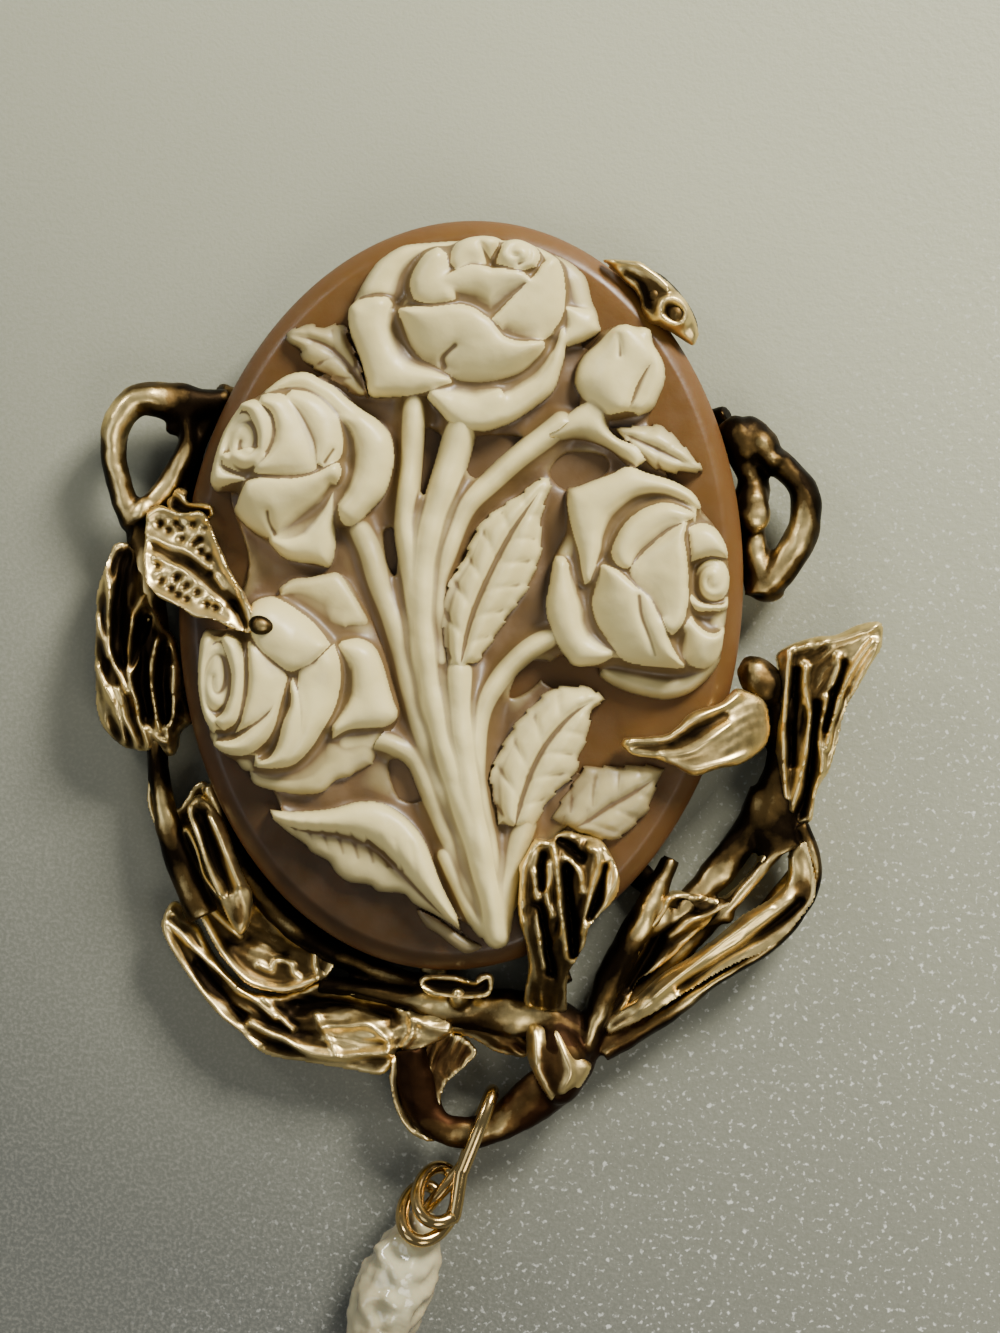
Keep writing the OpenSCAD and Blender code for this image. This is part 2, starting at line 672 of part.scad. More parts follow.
// The straight end: down, side, thickness as a share of the wire's
pearl_foot = pearl_down + pearl_long + wire_gap;
shank_rows = [
    [pearl_foot + head_long, pearl_side, head_wide],
    [pearl_foot, pearl_side, head_wide],
    [pearl_foot - wire_gap / 4, pearl_side, 1],
    [pearl_down - wire_gap, pearl_side, 1],
    [(pearl_down + neck_top) / 2, neck_side((pearl_down + neck_top) / 2), 1]
];
shank = [for (row = shank_rows) drop_point(row[0], row[1], 0)];
wire_path = concat(shank, eye, wraps);

// Directions across a path that turn with it and never twist
function ahead_at(points, k) = unit(row_at(points, k + 1) - row_at(points, k - 1));
function carried(v, ahead) = unit(v - ahead * (v * ahead));

module drop_wire() {
    points = wire_path;
    normals = [for (k = 0, n = carried([0, 0, 1], ahead_at(points, 0)); k < len(points);
        k = k + 1, n = carried(n, ahead_at(points, min(k, len(points) - 1)))) n];
    color("gold") loft([for (k = [0 : len(points) - 1])
        let (ahead = ahead_at(points, k), side = cross(ahead, normals[k]),
             thick = k < len(shank_rows) ? shank_rows[k][2] : 1)
        [for (p = circle_points(wire_sides)) points[k]
            + (side * p[0] + normals[k] * p[1]) * thick * wire_d / 2]]);
}

module drop_pearl() {
    drill_d = wire_d + 2 * wire_gap;
    color("whitesmoke") translate(drop_point(pearl_down, pearl_side, 0))
        rotate([0, 0, -drop_lean]) rotate([90, 0, 0]) difference() {
            rotate_extrude($fn = pearl_sides) polygon(concat([[0, 0]],
                [for (row = pearl_rows) [row[1] * pearl_d / 2, row[0] * pearl_long]],
                [[0, pearl_long]]));
            translate([0, 0, -drill_d])
                cylinder(h = pearl_long + 2 * drill_d, d = drill_d, $fn = drill_sides);
        }
}

cameo_base();
rose_relief();
vine_frame();
drop_wire();
drop_pearl();
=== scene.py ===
import math

import bpy
import numpy as np
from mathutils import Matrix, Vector, noise


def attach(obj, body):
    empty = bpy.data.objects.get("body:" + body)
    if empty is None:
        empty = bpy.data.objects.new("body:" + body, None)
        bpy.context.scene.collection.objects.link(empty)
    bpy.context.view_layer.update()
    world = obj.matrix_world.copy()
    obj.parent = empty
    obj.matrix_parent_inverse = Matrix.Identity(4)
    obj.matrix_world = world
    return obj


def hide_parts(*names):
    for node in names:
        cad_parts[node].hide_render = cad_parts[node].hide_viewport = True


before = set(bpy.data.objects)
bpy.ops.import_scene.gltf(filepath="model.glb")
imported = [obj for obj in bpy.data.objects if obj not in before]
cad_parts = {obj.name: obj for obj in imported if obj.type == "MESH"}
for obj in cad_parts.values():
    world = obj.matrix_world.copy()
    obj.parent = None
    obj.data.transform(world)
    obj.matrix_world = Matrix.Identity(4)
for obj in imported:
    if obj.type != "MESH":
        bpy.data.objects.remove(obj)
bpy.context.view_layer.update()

# The tables are in millimetres from the stone's middle. The twigs, the knobs and the cast leaves'
# spines are in shares of the stone's sizes instead.
MM = 0.001

# The stone's half width and half height, how high its face is, and how far the carving stands up
HALF_W = 15.0
HALF_H = 20.0
FACE_Z = 4.3
CARVING = 3.4
bpy.ops.object.select_all(action="DESELECT")

# Camera, in metres

CAMERA_PLACE = (0.00236, -0.00362, 0.1643)
CAMERA_ROLL = math.radians(4.5)
CAMERA_LENS = 81.6
CAMERA_START = 0.01
bpy.ops.object.camera_add(location=CAMERA_PLACE, rotation=(0, 0, CAMERA_ROLL))
camera = bpy.context.object
camera.name = "photo_camera"
camera.data.lens = CAMERA_LENS
camera.data.clip_start = CAMERA_START
bpy.context.scene.camera = camera


# Colours and nodes

def tone(red, green, blue):
    """A colour seen as these values of 0 to 255, as linear light."""
    def linear(value):
        share = value / 255
        return share / 12.92 if share <= 0.04045 else ((share + 0.055) / 1.055) ** 2.4
    return (linear(red), linear(green), linear(blue), 1.0)


def plug(tree, socket, value):
    """Links a socket or sets its value."""
    if isinstance(value, bpy.types.NodeSocket):
        tree.links.new(value, socket)
    else:
        socket.default_value = value


def add(tree, kind, inputs, **settings):
    """A node with its settings and inputs."""
    made = tree.nodes.new(kind)
    for name, value in settings.items():
        setattr(made, name, value)
    for name, value in inputs.items():
        plug(tree, made.inputs[name], value)
    return made


def spots(tree, scale, detail=4.0, rough=0.5):
    """Noise of the given scale on the object's own coordinates."""
    made = add(tree, "ShaderNodeTexNoise", {"Vector": tree.nodes["place"].outputs["Object"], "Scale": scale,
                                            "Detail": detail, "Roughness": rough})
    return made.outputs["Fac"]


def worked_out(tree, kind, first, second):
    """A math node's result."""
    made = tree.nodes.new("ShaderNodeMath")
    made.operation = kind
    plug(tree, made.inputs[0], first)
    plug(tree, made.inputs[1], second)
    return made.outputs[0]


def plus(tree, first, second):
    """Two values added."""
    return worked_out(tree, "ADD", first, second)


def minus(tree, first, second):
    """The second value taken from the first."""
    return worked_out(tree, "SUBTRACT", first, second)


def times(tree, first, second):
    """Two values multiplied."""
    return worked_out(tree, "MULTIPLY", first, second)


def span(tree, value, low, high, to_low=0.0, to_high=1.0):
    """The value carried from one range to another, and kept inside it."""
    made = add(tree, "ShaderNodeMapRange", {"Value": value, "From Min": low, "From Max": high,
                                            "To Min": to_low, "To Max": to_high})
    return made.outputs["Result"]


def varied(tree, scale, low, high):
    """A value that wanders between two bounds."""
    return span(tree, spots(tree, scale), 0.3, 0.7, low, high)


def blend(tree, share, low, high):
    """Two colours blended."""
    made = tree.nodes.new("ShaderNodeMix")
    made.data_type = "RGBA"
    plug(tree, made.inputs[0], share)
    plug(tree, made.inputs[6], low)
    plug(tree, made.inputs[7], high)
    return made.outputs[2]


def bumps(tree, height, strength, reach, under=None):
    """A bump of the given height texture."""
    inputs = {"Height": height, "Strength": strength, "Distance": reach}
    if under is not None:
        inputs["Normal"] = under
    return add(tree, "ShaderNodeBump", inputs).outputs["Normal"]


def stored(tree, name):
    """A value kept with the mesh's vertices."""
    return add(tree, "ShaderNodeAttribute", {}, attribute_name=name).outputs["Fac"]


def new_finish(name, **values):
    """A material with the object's own coordinates and its shader's fixed values."""
    finish = bpy.data.materials.new(name)
    finish.use_nodes = True
    tree = finish.node_tree
    place = tree.nodes.new("ShaderNodeTexCoord")
    place.name = "place"
    shader = tree.nodes["Principled BSDF"]
    for socket, value in values.items():
        shader.inputs[socket.replace("_", " ")].default_value = value
    return finish, tree, shader


def surface(tree, shader, colour, rough, normal):
    """Gives the shader its colour, its roughness and its bumps."""
    plug(tree, shader.inputs["Base Color"], colour)
    plug(tree, shader.inputs["Roughness"], rough)
    plug(tree, shader.inputs["Normal"], normal)


def parts_of_place(tree):
    """Across, along and up of the object's own coordinates."""
    made = add(tree, "ShaderNodeSeparateXYZ", {"Vector": tree.nodes["place"].outputs["Object"]})
    return made.outputs[0], made.outputs[1], made.outputs[2]


def stone_finish():
    """Translucent agate, tan above and amber at the right as painted light,
    dark brown low at the left as painted shade.
    """
    shaded_brown = tone(36, 24, 9)
    lit_tan = tone(102, 72, 31)
    lit_amber = tone(90, 62, 25)
    cloudy = tone(82, 55, 31)
    edge_brown = tone(96, 62, 38)
    finish, tree, shader = new_finish("tan_agate", Coat_Weight=0.03, Coat_Roughness=0.3, IOR=1.4,
                                      Subsurface_Weight=0.12, Subsurface_Scale=0.002)
    across, along, up = parts_of_place(tree)
    # Painted light and shade: lighter towards the upper right, darker towards the lower left, amber at the
    # right
    slant = plus(tree, times(tree, across, 30.0), times(tree, along, 32.0))
    light_share = span(tree, plus(tree, slant, times(tree, spots(tree, 110.0, 3.0), 0.5)), -0.75, 0.85)
    body = blend(tree, light_share, shaded_brown, lit_tan)
    body = blend(tree, times(tree, span(tree, across, 0.004, 0.013), 0.55), body, lit_amber)
    veil = span(tree, spots(tree, 420.0, 6.0), 0.42, 0.7)
    body = blend(tree, times(tree, veil, 0.3), body, cloudy)
    body = blend(tree, times(tree, span(tree, up, 0.00422, 0.0036), 0.4), body, edge_brown)
    surface(tree, shader, body, varied(tree, 900.0, 0.32, 0.48),
            bumps(tree, spots(tree, 1500.0, 5.0), 0.12, 0.0002))
    return finish


def ivory_finish():
    """Carved ivory layer: creamy where it is thick, browner where it is thin over the stone,
    and darker brown with painted shade in its low ground and its recesses.
    """
    dull_cream = tone(201, 185, 125)
    bright_cream = tone(225, 211, 150)
    thin_and_shaded_brown = tone(88, 71, 42)
    patina_and_shade_brown = tone(92, 68, 36)
    finish, tree, shader = new_finish("ivory_layer", Coat_Weight=0.12, Coat_Roughness=0.3,
                                      Subsurface_Weight=0.1, Subsurface_Scale=0.001, IOR=1.5)
    shader.inputs["Subsurface Radius"].default_value = (1.0, 0.75, 0.5)
    up = parts_of_place(tree)[2]
    cloud = spots(tree, 260.0, 5.0)
    body = blend(tree, cloud, dull_cream, bright_cream)
    # Browner low down: partly the thin layer over the brown stone, partly painted shade on the low ground
    low = span(tree, plus(tree, up, times(tree, cloud, 0.0006)), 0.0060, 0.0049)
    body = blend(tree, times(tree, low, 0.92), body, thin_and_shaded_brown)
    # Browner in recesses below the carving round them: partly patina, partly painted shade
    deep = span(tree, stored(tree, "crevice"), -0.05, 0.34)
    body = blend(tree, times(tree, deep, 0.92), body, patina_and_shade_brown)
    fine = bumps(tree, spots(tree, 3400.0, 6.0), 0.2, 0.00006)
    surface(tree, shader, body, varied(tree, 1100.0, 0.38, 0.58),
            bumps(tree, spots(tree, 760.0, 3.0), 0.15, 0.0002, fine))
    return finish


def gold_finish():
    """Old gold: pale where it is worn, brown in between and nearly black in its recesses; partly real
    wear and patina, partly painted highlights and painted shade.
    """
    patina_and_shade_black = tone(24, 17, 9)
    brown = tone(88, 69, 38)
    worn_and_highlight_gold = tone(248, 220, 150)
    copper = tone(104, 62, 36)
    finish, tree, shader = new_finish("antique_gold", Metallic=1.0)
    across, along = parts_of_place(tree)[:2]
    cloud = spots(tree, 520.0, 6.0, 0.6)
    broad = spots(tree, 160.0, 3.0)
    # How far a place stands out gives worn ridges and patina in hollows; the painted light map adds painted
    # highlights and shade
    wear_and_sheen = plus(tree, times(tree, stored(tree, "wear_and_sheen"), 3.2), stored(tree, "painted_light_map"))
    wear_and_sheen = plus(tree, wear_and_sheen, minus(tree, cloud, 0.5))
    wear_and_sheen = plus(tree, wear_and_sheen, times(tree, minus(tree, broad, 0.54), 1.5))
    # Nearly black is partly patina and partly painted shade; pale gold is partly wear and partly painted
    # highlight
    body = blend(tree, span(tree, wear_and_sheen, -0.42, 0.0), patina_and_shade_black, brown)
    body = blend(tree, span(tree, wear_and_sheen, 0.0, 0.5), body, worn_and_highlight_gold)
    at_hook = times(tree, span(tree, along, -0.0215, -0.0245), span(tree, across, -0.003, 0.001))
    body = blend(tree, times(tree, at_hook, 0.14), body, copper)
    rough = plus(tree, span(tree, wear_and_sheen, -0.3, 0.4, 0.5, 0.33), varied(tree, 1800.0, -0.05, 0.08))
    fine = bumps(tree, spots(tree, 3200.0, 4.0), 0.2, 0.00006)
    surface(tree, shader, body, rough, bumps(tree, cloud, 0.07, 0.0002, fine))
    return finish


def wire_finish():
    """Smooth yellow gold wire, a little scratched."""
    dull_gold = tone(168, 136, 80)
    bright_gold = tone(216, 188, 128)
    finish, tree, shader = new_finish("gold_wire", Metallic=1.0)
    surface(tree, shader, blend(tree, spots(tree, 700.0), dull_gold, bright_gold),
            varied(tree, 1500.0, 0.12, 0.24), bumps(tree, spots(tree, 2400.0, 3.0), 0.05, 0.0001))
    return finish


def pearl_finish():
    """Creamy nacre, greenish in patches, browned by painted shade where it turns away from view."""
    deep_nacre = tone(172, 160, 118)
    pale_nacre = tone(214, 204, 164)
    greenish = tone(158, 172, 146)
    painted_edge_shade = tone(150, 132, 98)
    finish, tree, shader = new_finish("nacre", Coat_Weight=1.0, Coat_Roughness=0.08,
                                      Subsurface_Weight=0.1, Subsurface_Scale=0.001, IOR=1.6)
    # Painted shade: browner towards the outline, where the surface turns away from view
    edge_shade_share = add(tree, "ShaderNodeLayerWeight", {"Blend": 0.35}).outputs["Facing"]
    cloud = spots(tree, 380.0, 3.0)
    body = blend(tree, cloud, deep_nacre, pale_nacre)
    body = blend(tree, times(tree, span(tree, cloud, 0.35, 0.6), 0.25), body, greenish)
    body = blend(tree, edge_shade_share, body, painted_edge_shade)
    surface(tree, shader, body, varied(tree, 900.0, 0.14, 0.28),
            bumps(tree, spots(tree, 900.0, 2.0), 0.35, 0.0003))
    return finish


def floor_finish():
    """Fine grained pale grey stone under the pendant, with painted light and shade and painted glints."""
    shaded_grey = tone(84, 86, 80)
    lit_grey = tone(158, 160, 136)
    grain_grey = tone(150, 149, 138)
    glint_white = tone(226, 228, 220)
    finish, tree, shader = new_finish("pale_grain")
    across, along = parts_of_place(tree)[:2]
    # Painted light and shade: lighter towards the top right, darker towards the lower left
    slant = plus(tree, times(tree, across, 5.0), times(tree, along, 9.0))
    slant = plus(tree, slant, times(tree, spots(tree, 35.0), 0.1))
    body = blend(tree, span(tree, slant, -0.36, 0.34), shaded_grey, lit_grey)
    grain = spots(tree, 5200.0, 2.0)
    body = blend(tree, span(tree, grain, 0.45, 0.75, 0.0, 0.3), body, grain_grey)
    # Painted glints, only at the lit lower right
    lit = span(tree, minus(tree, across, times(tree, along, 0.6)), 0.006, 0.036)
    painted_glints = times(tree, span(tree, spots(tree, 3300.0, 2.0), 0.6, 0.72), lit)
    body = blend(tree, times(tree, painted_glints, 0.7), body, glint_white)
    coarse = times(tree, spots(tree, 2100.0, 2.0), span(tree, across, -0.01, 0.03))
    grains = plus(tree, grain, times(tree, coarse, 2.0))
    surface(tree, shader, body, span(tree, grain, 0.3, 0.7, 0.35, 0.8), bumps(tree, grains, 0.18, 0.0001))
    return finish


# Fields of heights

# The height and depth of an empty cell, and the height from which cushions and stems rise
NOWHERE = -9.0
BASE = 0.3

# A carved leaf: half the width of its veins and of its midrib, how deep each is cut, and how far
# its edge is rounded
VEIN_HALF = 0.15
VEIN_DEEP = 0.2
RIB_HALF = 0.16
RIB_DEEP = 0.25
LEAF_SHOULDER = 0.25


def curve(points, steps=5, closed=False):
    """The points joined by a smooth line."""
    rows = np.array(points, float)
    count = len(rows)
    share = np.linspace(0, 1, steps, endpoint=False)[:, None]
    pieces = []
    for k in range(count if closed else count - 1):
        picks = [k - 1, k, k + 1, k + 2]
        if closed:
            picks = [p % count for p in picks]
        else:
            picks = [min(max(p, 0), count - 1) for p in picks]
        a, b, c, d = (rows[p] for p in picks)
        pieces.append(0.5 * (2 * b + (c - a) * share + (2 * a - 5 * b + 4 * c - d) * share ** 2
                             + (3 * b - a - 3 * c + d) * share ** 3))
    if not closed:
        pieces.append(rows[-1:])
    return np.concatenate(pieces)


def nearest(line, x, y):
    """Distance from the line, how far along it the nearest point lies, and the signed distance."""
    best = np.full(x.shape, 1e9)
    reach = np.zeros(x.shape)
    left = np.ones(x.shape)
    gone = 0.0
    for a, b in zip(line[:-1, :2], line[1:, :2]):
        step = b - a
        size = step @ step
        if size > 1e-12:
            share = np.clip(((x - a[0]) * step[0] + (y - a[1]) * step[1]) / size, 0, 1)
            far = (x - a[0] - share * step[0]) ** 2 + (y - a[1] - share * step[1]) ** 2
            closer = far < best
            best = np.where(closer, far, best)
            reach = np.where(closer, gone + share * math.sqrt(size), reach)
            turn = step[0] * (y - a[1]) - step[1] * (x - a[0])
            left = np.where(closer, np.sign(turn), left)
            gone += math.sqrt(size)
    away = np.sqrt(best)
    return away, reach, away * left


def inside(ring, x, y):
    """True where a point lies inside the closed ring."""
    odd = np.zeros(x.shape, bool)
    for a, b in zip(ring, np.roll(ring, -1, axis=0)):
        if a[1] != b[1]:
            crossing = (a[1] > y) != (b[1] > y)
            odd ^= crossing & (x < (b[0] - a[0]) * (y - a[1]) / (b[1] - a[1]) + a[0])
    return odd


def depth_in(ring, x, y):
    """How far inside the closed ring each point lies; outside it is negative."""
    away = nearest(np.concatenate([ring, ring[:1]]), x, y)[0]
    return np.where(inside(ring, x, y), away, -away)


def around(x, y, across, along):
    """The squared distance from a place."""
    return (x - across) ** 2 + (y - along) ** 2


def blur(values, radius):
    """Values evened out over this many cells each way, three times."""
    for turn in range(3):
        for axis in (0, 1):
            pads = [(0, 0), (0, 0)]
            pads[axis] = (radius + 1, radius)
            total = np.cumsum(np.pad(values, pads, mode="edge"), axis=axis)
            count = values.shape[axis]
            upper = np.take(total, range(2 * radius + 1, 2 * radius + 1 + count), axis=axis)
            lower = np.take(total, range(0, count), axis=axis)
            values = (upper - lower) / (2 * radius + 1)
    return values


def widest(values, radius):
    """The highest value within this many cells each way."""
    for axis in (0, 1):
        found = values
        for step in range(1, radius + 1):
            found = np.maximum(found, np.roll(values, step, axis))
            found = np.maximum(found, np.roll(values, -step, axis))
        values = found
    return values


def closed_up(values, radius):
    """The values with their narrow gaps filled."""
    return -widest(-widest(values, radius), radius)


def dome(depth, roll):
    """From 0 at an outline to 1 where its rounded edge ends, as a quarter circle rises."""
    share = 1 - np.clip(depth / roll, 0, 1)
    return np.sqrt(1 - share ** 2)


def dropped(depth, shoulder):
    """How far a rounded shoulder has dropped at this depth inside its edge."""
    return shoulder * (1 - dome(depth, shoulder))


class Field:
    """Heights over a regular grid, and how far inside the outline each point lies."""

    def __init__(self, box, pitch):
        self.pitch = pitch
        self.x, self.y = np.meshgrid(np.arange(box[0], box[2], pitch), np.arange(box[1], box[3], pitch))
        self.top = np.full(self.x.shape, NOWHERE)
        self.depth = np.full(self.x.shape, NOWHERE)

    def cut(self, line, margin=0.5):
        """The part of the grid that holds the line."""
        corner = (self.x[0, 0], self.y[0, 0])
        low = (np.min(line[:, :2], axis=0) - margin - corner) / self.pitch
        high = (np.max(line[:, :2], axis=0) + margin - corner) / self.pitch
        return (slice(max(int(low[1]), 0), max(int(high[1]), 1)),
                slice(max(int(low[0]), 0), max(int(high[0]), 1)))

    def lay(self, part, height, depth):
        """Lays a shape over what is there: the higher one shows."""
        shown = np.where(depth > 0, height, NOWHERE)
        self.top[part] = np.maximum(self.top[part], shown)
        self.depth[part] = np.maximum(self.depth[part], depth)

    def petal(self, rim, root, foot, crest, edge, share=0.5, shoulder=0.2):
        """A petal that rises from its root to its crest and rounds over at its rim."""
        rim = curve(rim)
        root = curve(root)
        ring = np.concatenate([rim, root[::-1]])
        part = self.cut(ring)
        x, y = self.x[part], self.y[part]
        near_rim = nearest(rim, x, y)[0]
        near_root = nearest(root, x, y)[0]
        over = near_root / (near_root + near_rim + 1e-6)
        rise = foot + (crest - foot) * np.sin(np.clip(over / share, 0, 1) * math.pi / 2)
        fall = crest + (edge - crest) * np.clip((over - share) / (1 - share), 0, 1) ** 2
        depth = depth_in(ring, x, y)
        height = np.where(over < share, rise, fall) - dropped(near_rim, shoulder)
        self.lay(part, height - 0.4 * dropped(depth, shoulder), depth)

    def petals(self, rows):
        """Every petal of a table."""
        for rim, root, foot, crest, edge, share in rows:
            self.petal(rim, root, foot, crest, edge, share)

    def pillow(self, ring, height, roll=0.8, rise=BASE):
        """A cushion inside a closed outline, rounded over at its edge."""
        ring = curve(ring, closed=True)
        part = self.cut(ring)
        depth = depth_in(ring, self.x[part], self.y[part])
        self.lay(part, rise + (height - rise) * dome(depth, roll), depth)

    def ridge(self, path, width, height):
        """Adds a soft ridge along a path; a negative height sinks a groove."""
        path = curve(path)
        part = self.cut(path, 3 * width)
        away = nearest(path, self.x[part], self.y[part])[0]
        self.top[part] += height * np.exp(-(away / width) ** 2)

    def groove(self, path, width, depth):
        """Sinks a soft groove along a path."""
        self.ridge(path, width, -depth)

    def stem(self, path, width, height, end=0.8):
        """A rounded stem along a path; it ends a little thinner."""
        path = curve(path)
        part = self.cut(path, width)
        away, reach = nearest(path, self.x[part], self.y[part])[:2]
        half = width / 2 * (1 + (end - 1) * reach / (reach.max() + 1e-6))
        wave = 0.06 * np.sin(reach * 2.1 + path[0, 0] * 3)
        share = np.clip(away / half, 0, 1)
        self.lay(part, BASE + (height - BASE + wave) * np.sqrt(1 - share ** 2), half - away)

    def leaf(self, rib, left, right, height, teeth=0.14, lean=0.7, every=1.5):
        """A leaf with a midrib, slanted veins and a toothed edge."""
        rib = curve(rib)
        edge = np.concatenate([curve(left), curve(right)[::-1]])
        part = self.cut(edge)
        x, y = self.x[part], self.y[part]
        away, reach = nearest(rib, x, y)[:2]
        near_edge, run = nearest(np.concatenate([edge, edge[:1]]), x, y)[:2]
        depth = np.where(inside(edge, x, y), near_edge, -near_edge) - teeth * (run * 0.9 % 1)
        over = away / (away + near_edge + 1e-6)
        turns = (reach - lean * away) / every + 0.25 * (run > run.max() / 2)
        vein = np.exp(-((turns - np.round(turns)) * every / VEIN_HALF) ** 2)
        top = height * (0.82 + 0.25 * np.sin(np.clip(over * 1.4, 0, 1) * math.pi) - 0.1 * over)
        top -= VEIN_DEEP * vein * np.sin(np.clip(over, 0, 1) * math.pi)
        top -= RIB_DEEP * np.exp(-(away / RIB_HALF) ** 2)
        self.lay(part, top - dropped(depth, LEAF_SHOULDER), depth)


def sheet(field, extra, foot):
    """Vertices and faces of a field's top; its rim is moved to the outline and down to the foot."""
    inner = field.depth > 0
    cells = inner[:-1, :-1] | inner[:-1, 1:] | inner[1:, :-1] | inner[1:, 1:]
    used = np.zeros(inner.shape, bool)
    for rows in (slice(0, -1), slice(1, None)):
        for cols in (slice(0, -1), slice(1, None)):
            used[rows, cols] |= cells
    slope_y, slope_x = np.gradient(np.clip(field.depth, -1, 1), field.pitch)
    size = np.maximum(slope_x ** 2 + slope_y ** 2, 0.3)
    move = np.where(inner, 0, np.clip(field.depth, -field.pitch * 1.5, 0)) / size
    x = field.x - move * slope_x
    y = field.y - move * slope_y
    z = np.where(inner, field.top, foot)
    index = np.full(inner.shape, -1)
    index[used] = np.arange(used.sum())
    rows, cols = np.nonzero(cells)
    faces = np.stack([index[rows, cols], index[rows, cols + 1], index[rows + 1, cols + 1],
                      index[rows + 1, cols]], axis=1)
    verts = np.stack([x[used], y[used], z[used]], axis=1)
    return verts, faces, [layer[used] for layer in extra]


# Pieces

def new_piece(name, verts, faces, finish):
    """A mesh piece in millimetres, with its material."""
    mesh = bpy.data.meshes.new(name)
    mesh.from_pydata([tuple(v) for v in np.asarray(verts) * MM], [], faces)
    piece = bpy.data.objects.new(name, mesh)
    bpy.context.collection.objects.link(piece)
    mesh.materials.append(finish)
    return piece


def pick(piece):
    """Makes one piece the chosen one."""
    bpy.ops.object.select_all(action="DESELECT")
    piece.select_set(True)
    bpy.context.view_layer.objects.active = piece


def face_outwards(piece, fill=False):
    """Points a closed piece's faces outwards; an open one is filled along its rim first."""
    pick(piece)
    bpy.ops.object.mode_set(mode="EDIT")
    if fill:
        bpy.ops.mesh.select_mode(type="EDGE")
        bpy.ops.mesh.select_all(action="DESELECT")
        bpy.ops.mesh.select_non_manifold(extend=False, use_wire=False, use_boundary=True,
                                         use_multi_face=False, use_non_contiguous=False, use_verts=False)
        bpy.ops.mesh.fill(use_beauty=False)
    bpy.ops.mesh.select_all(action="SELECT")
    bpy.ops.mesh.normals_make_consistent(inside=False)
    bpy.ops.object.mode_set(mode="OBJECT")


def keep(piece, name, values):
    """Keeps a value with each vertex."""
    made = piece.data.attributes.new(name, "FLOAT", "POINT")
    made.data.foreach_set("value", np.asarray(values, np.float32))


def corners(mesh):
    """The places and the normals of a mesh's vertices."""
    places = np.empty(len(mesh.vertices) * 3)
    normals = np.empty(len(mesh.vertices) * 3)
    mesh.vertices.foreach_get("co", places)
    mesh.vertex_normals.foreach_get("vector", normals)
    return places.reshape(-1, 3), normals.reshape(-1, 3)


def finish_piece(piece, node_name, smooth=40.0):
    """Smooths a piece, puts it on the body and hides the model's node that it stands for."""
    pick(piece)
    bpy.ops.object.shade_smooth_by_angle(angle=math.radians(smooth))
    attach(piece, "root")
    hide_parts(node_name)


# Stone, under the carving

# Its underside, the height of its straight side, and the sides of its outline
STONE_LOW = 1.3
STONE_BODY = 1.9
STONE_SIDES = 200

# The bevel goes in and up in small steps, and its top edge is slightly rounded
bevel_steps = [(0.04, 0.14), (0.14, 0.24), (0.22, 0.26), (0.26, 0.24), (0.22, 0.15), (0.12, 0.05),
               (0.1, 0.02), (0.5, 0.0)]


def choose_top(piece):
    """Chooses the faces that look up, and no loose edges."""
    for face in piece.data.polygons:
        face.select = face.normal.z > 0.99
    for edge in piece.data.edges:
        edge.select = False


bpy.ops.mesh.primitive_cylinder_add(vertices=STONE_SIDES, radius=HALF_W * MM, depth=STONE_BODY * MM,
                                    location=(0, 0, (STONE_LOW + STONE_BODY / 2) * MM))
stone = bpy.context.object
stone.name = "agate_oval"
bpy.ops.object.transform_apply(location=True, rotation=True, scale=True)
bpy.ops.object.mode_set(mode="EDIT")
bpy.ops.mesh.select_mode(type="FACE")
bpy.ops.mesh.select_all(action="SELECT")
bpy.ops.transform.resize(value=(1, HALF_H / HALF_W, 1))
bpy.ops.object.mode_set(mode="OBJECT")
choose_top(stone)
bpy.ops.object.mode_set(mode="EDIT")
for inward, upward in bevel_steps:
    bpy.ops.mesh.inset(thickness=inward * MM, depth=upward * MM)
bpy.ops.object.mode_set(mode="OBJECT")
stone.data.materials.append(stone_finish())
finish_piece(stone, "cameo_base", 25.0)

# Carved bouquet. A petal: its rim, its root, then heights over the stone at the root, the
# crest and the rim, and where the crest lies between root and rim

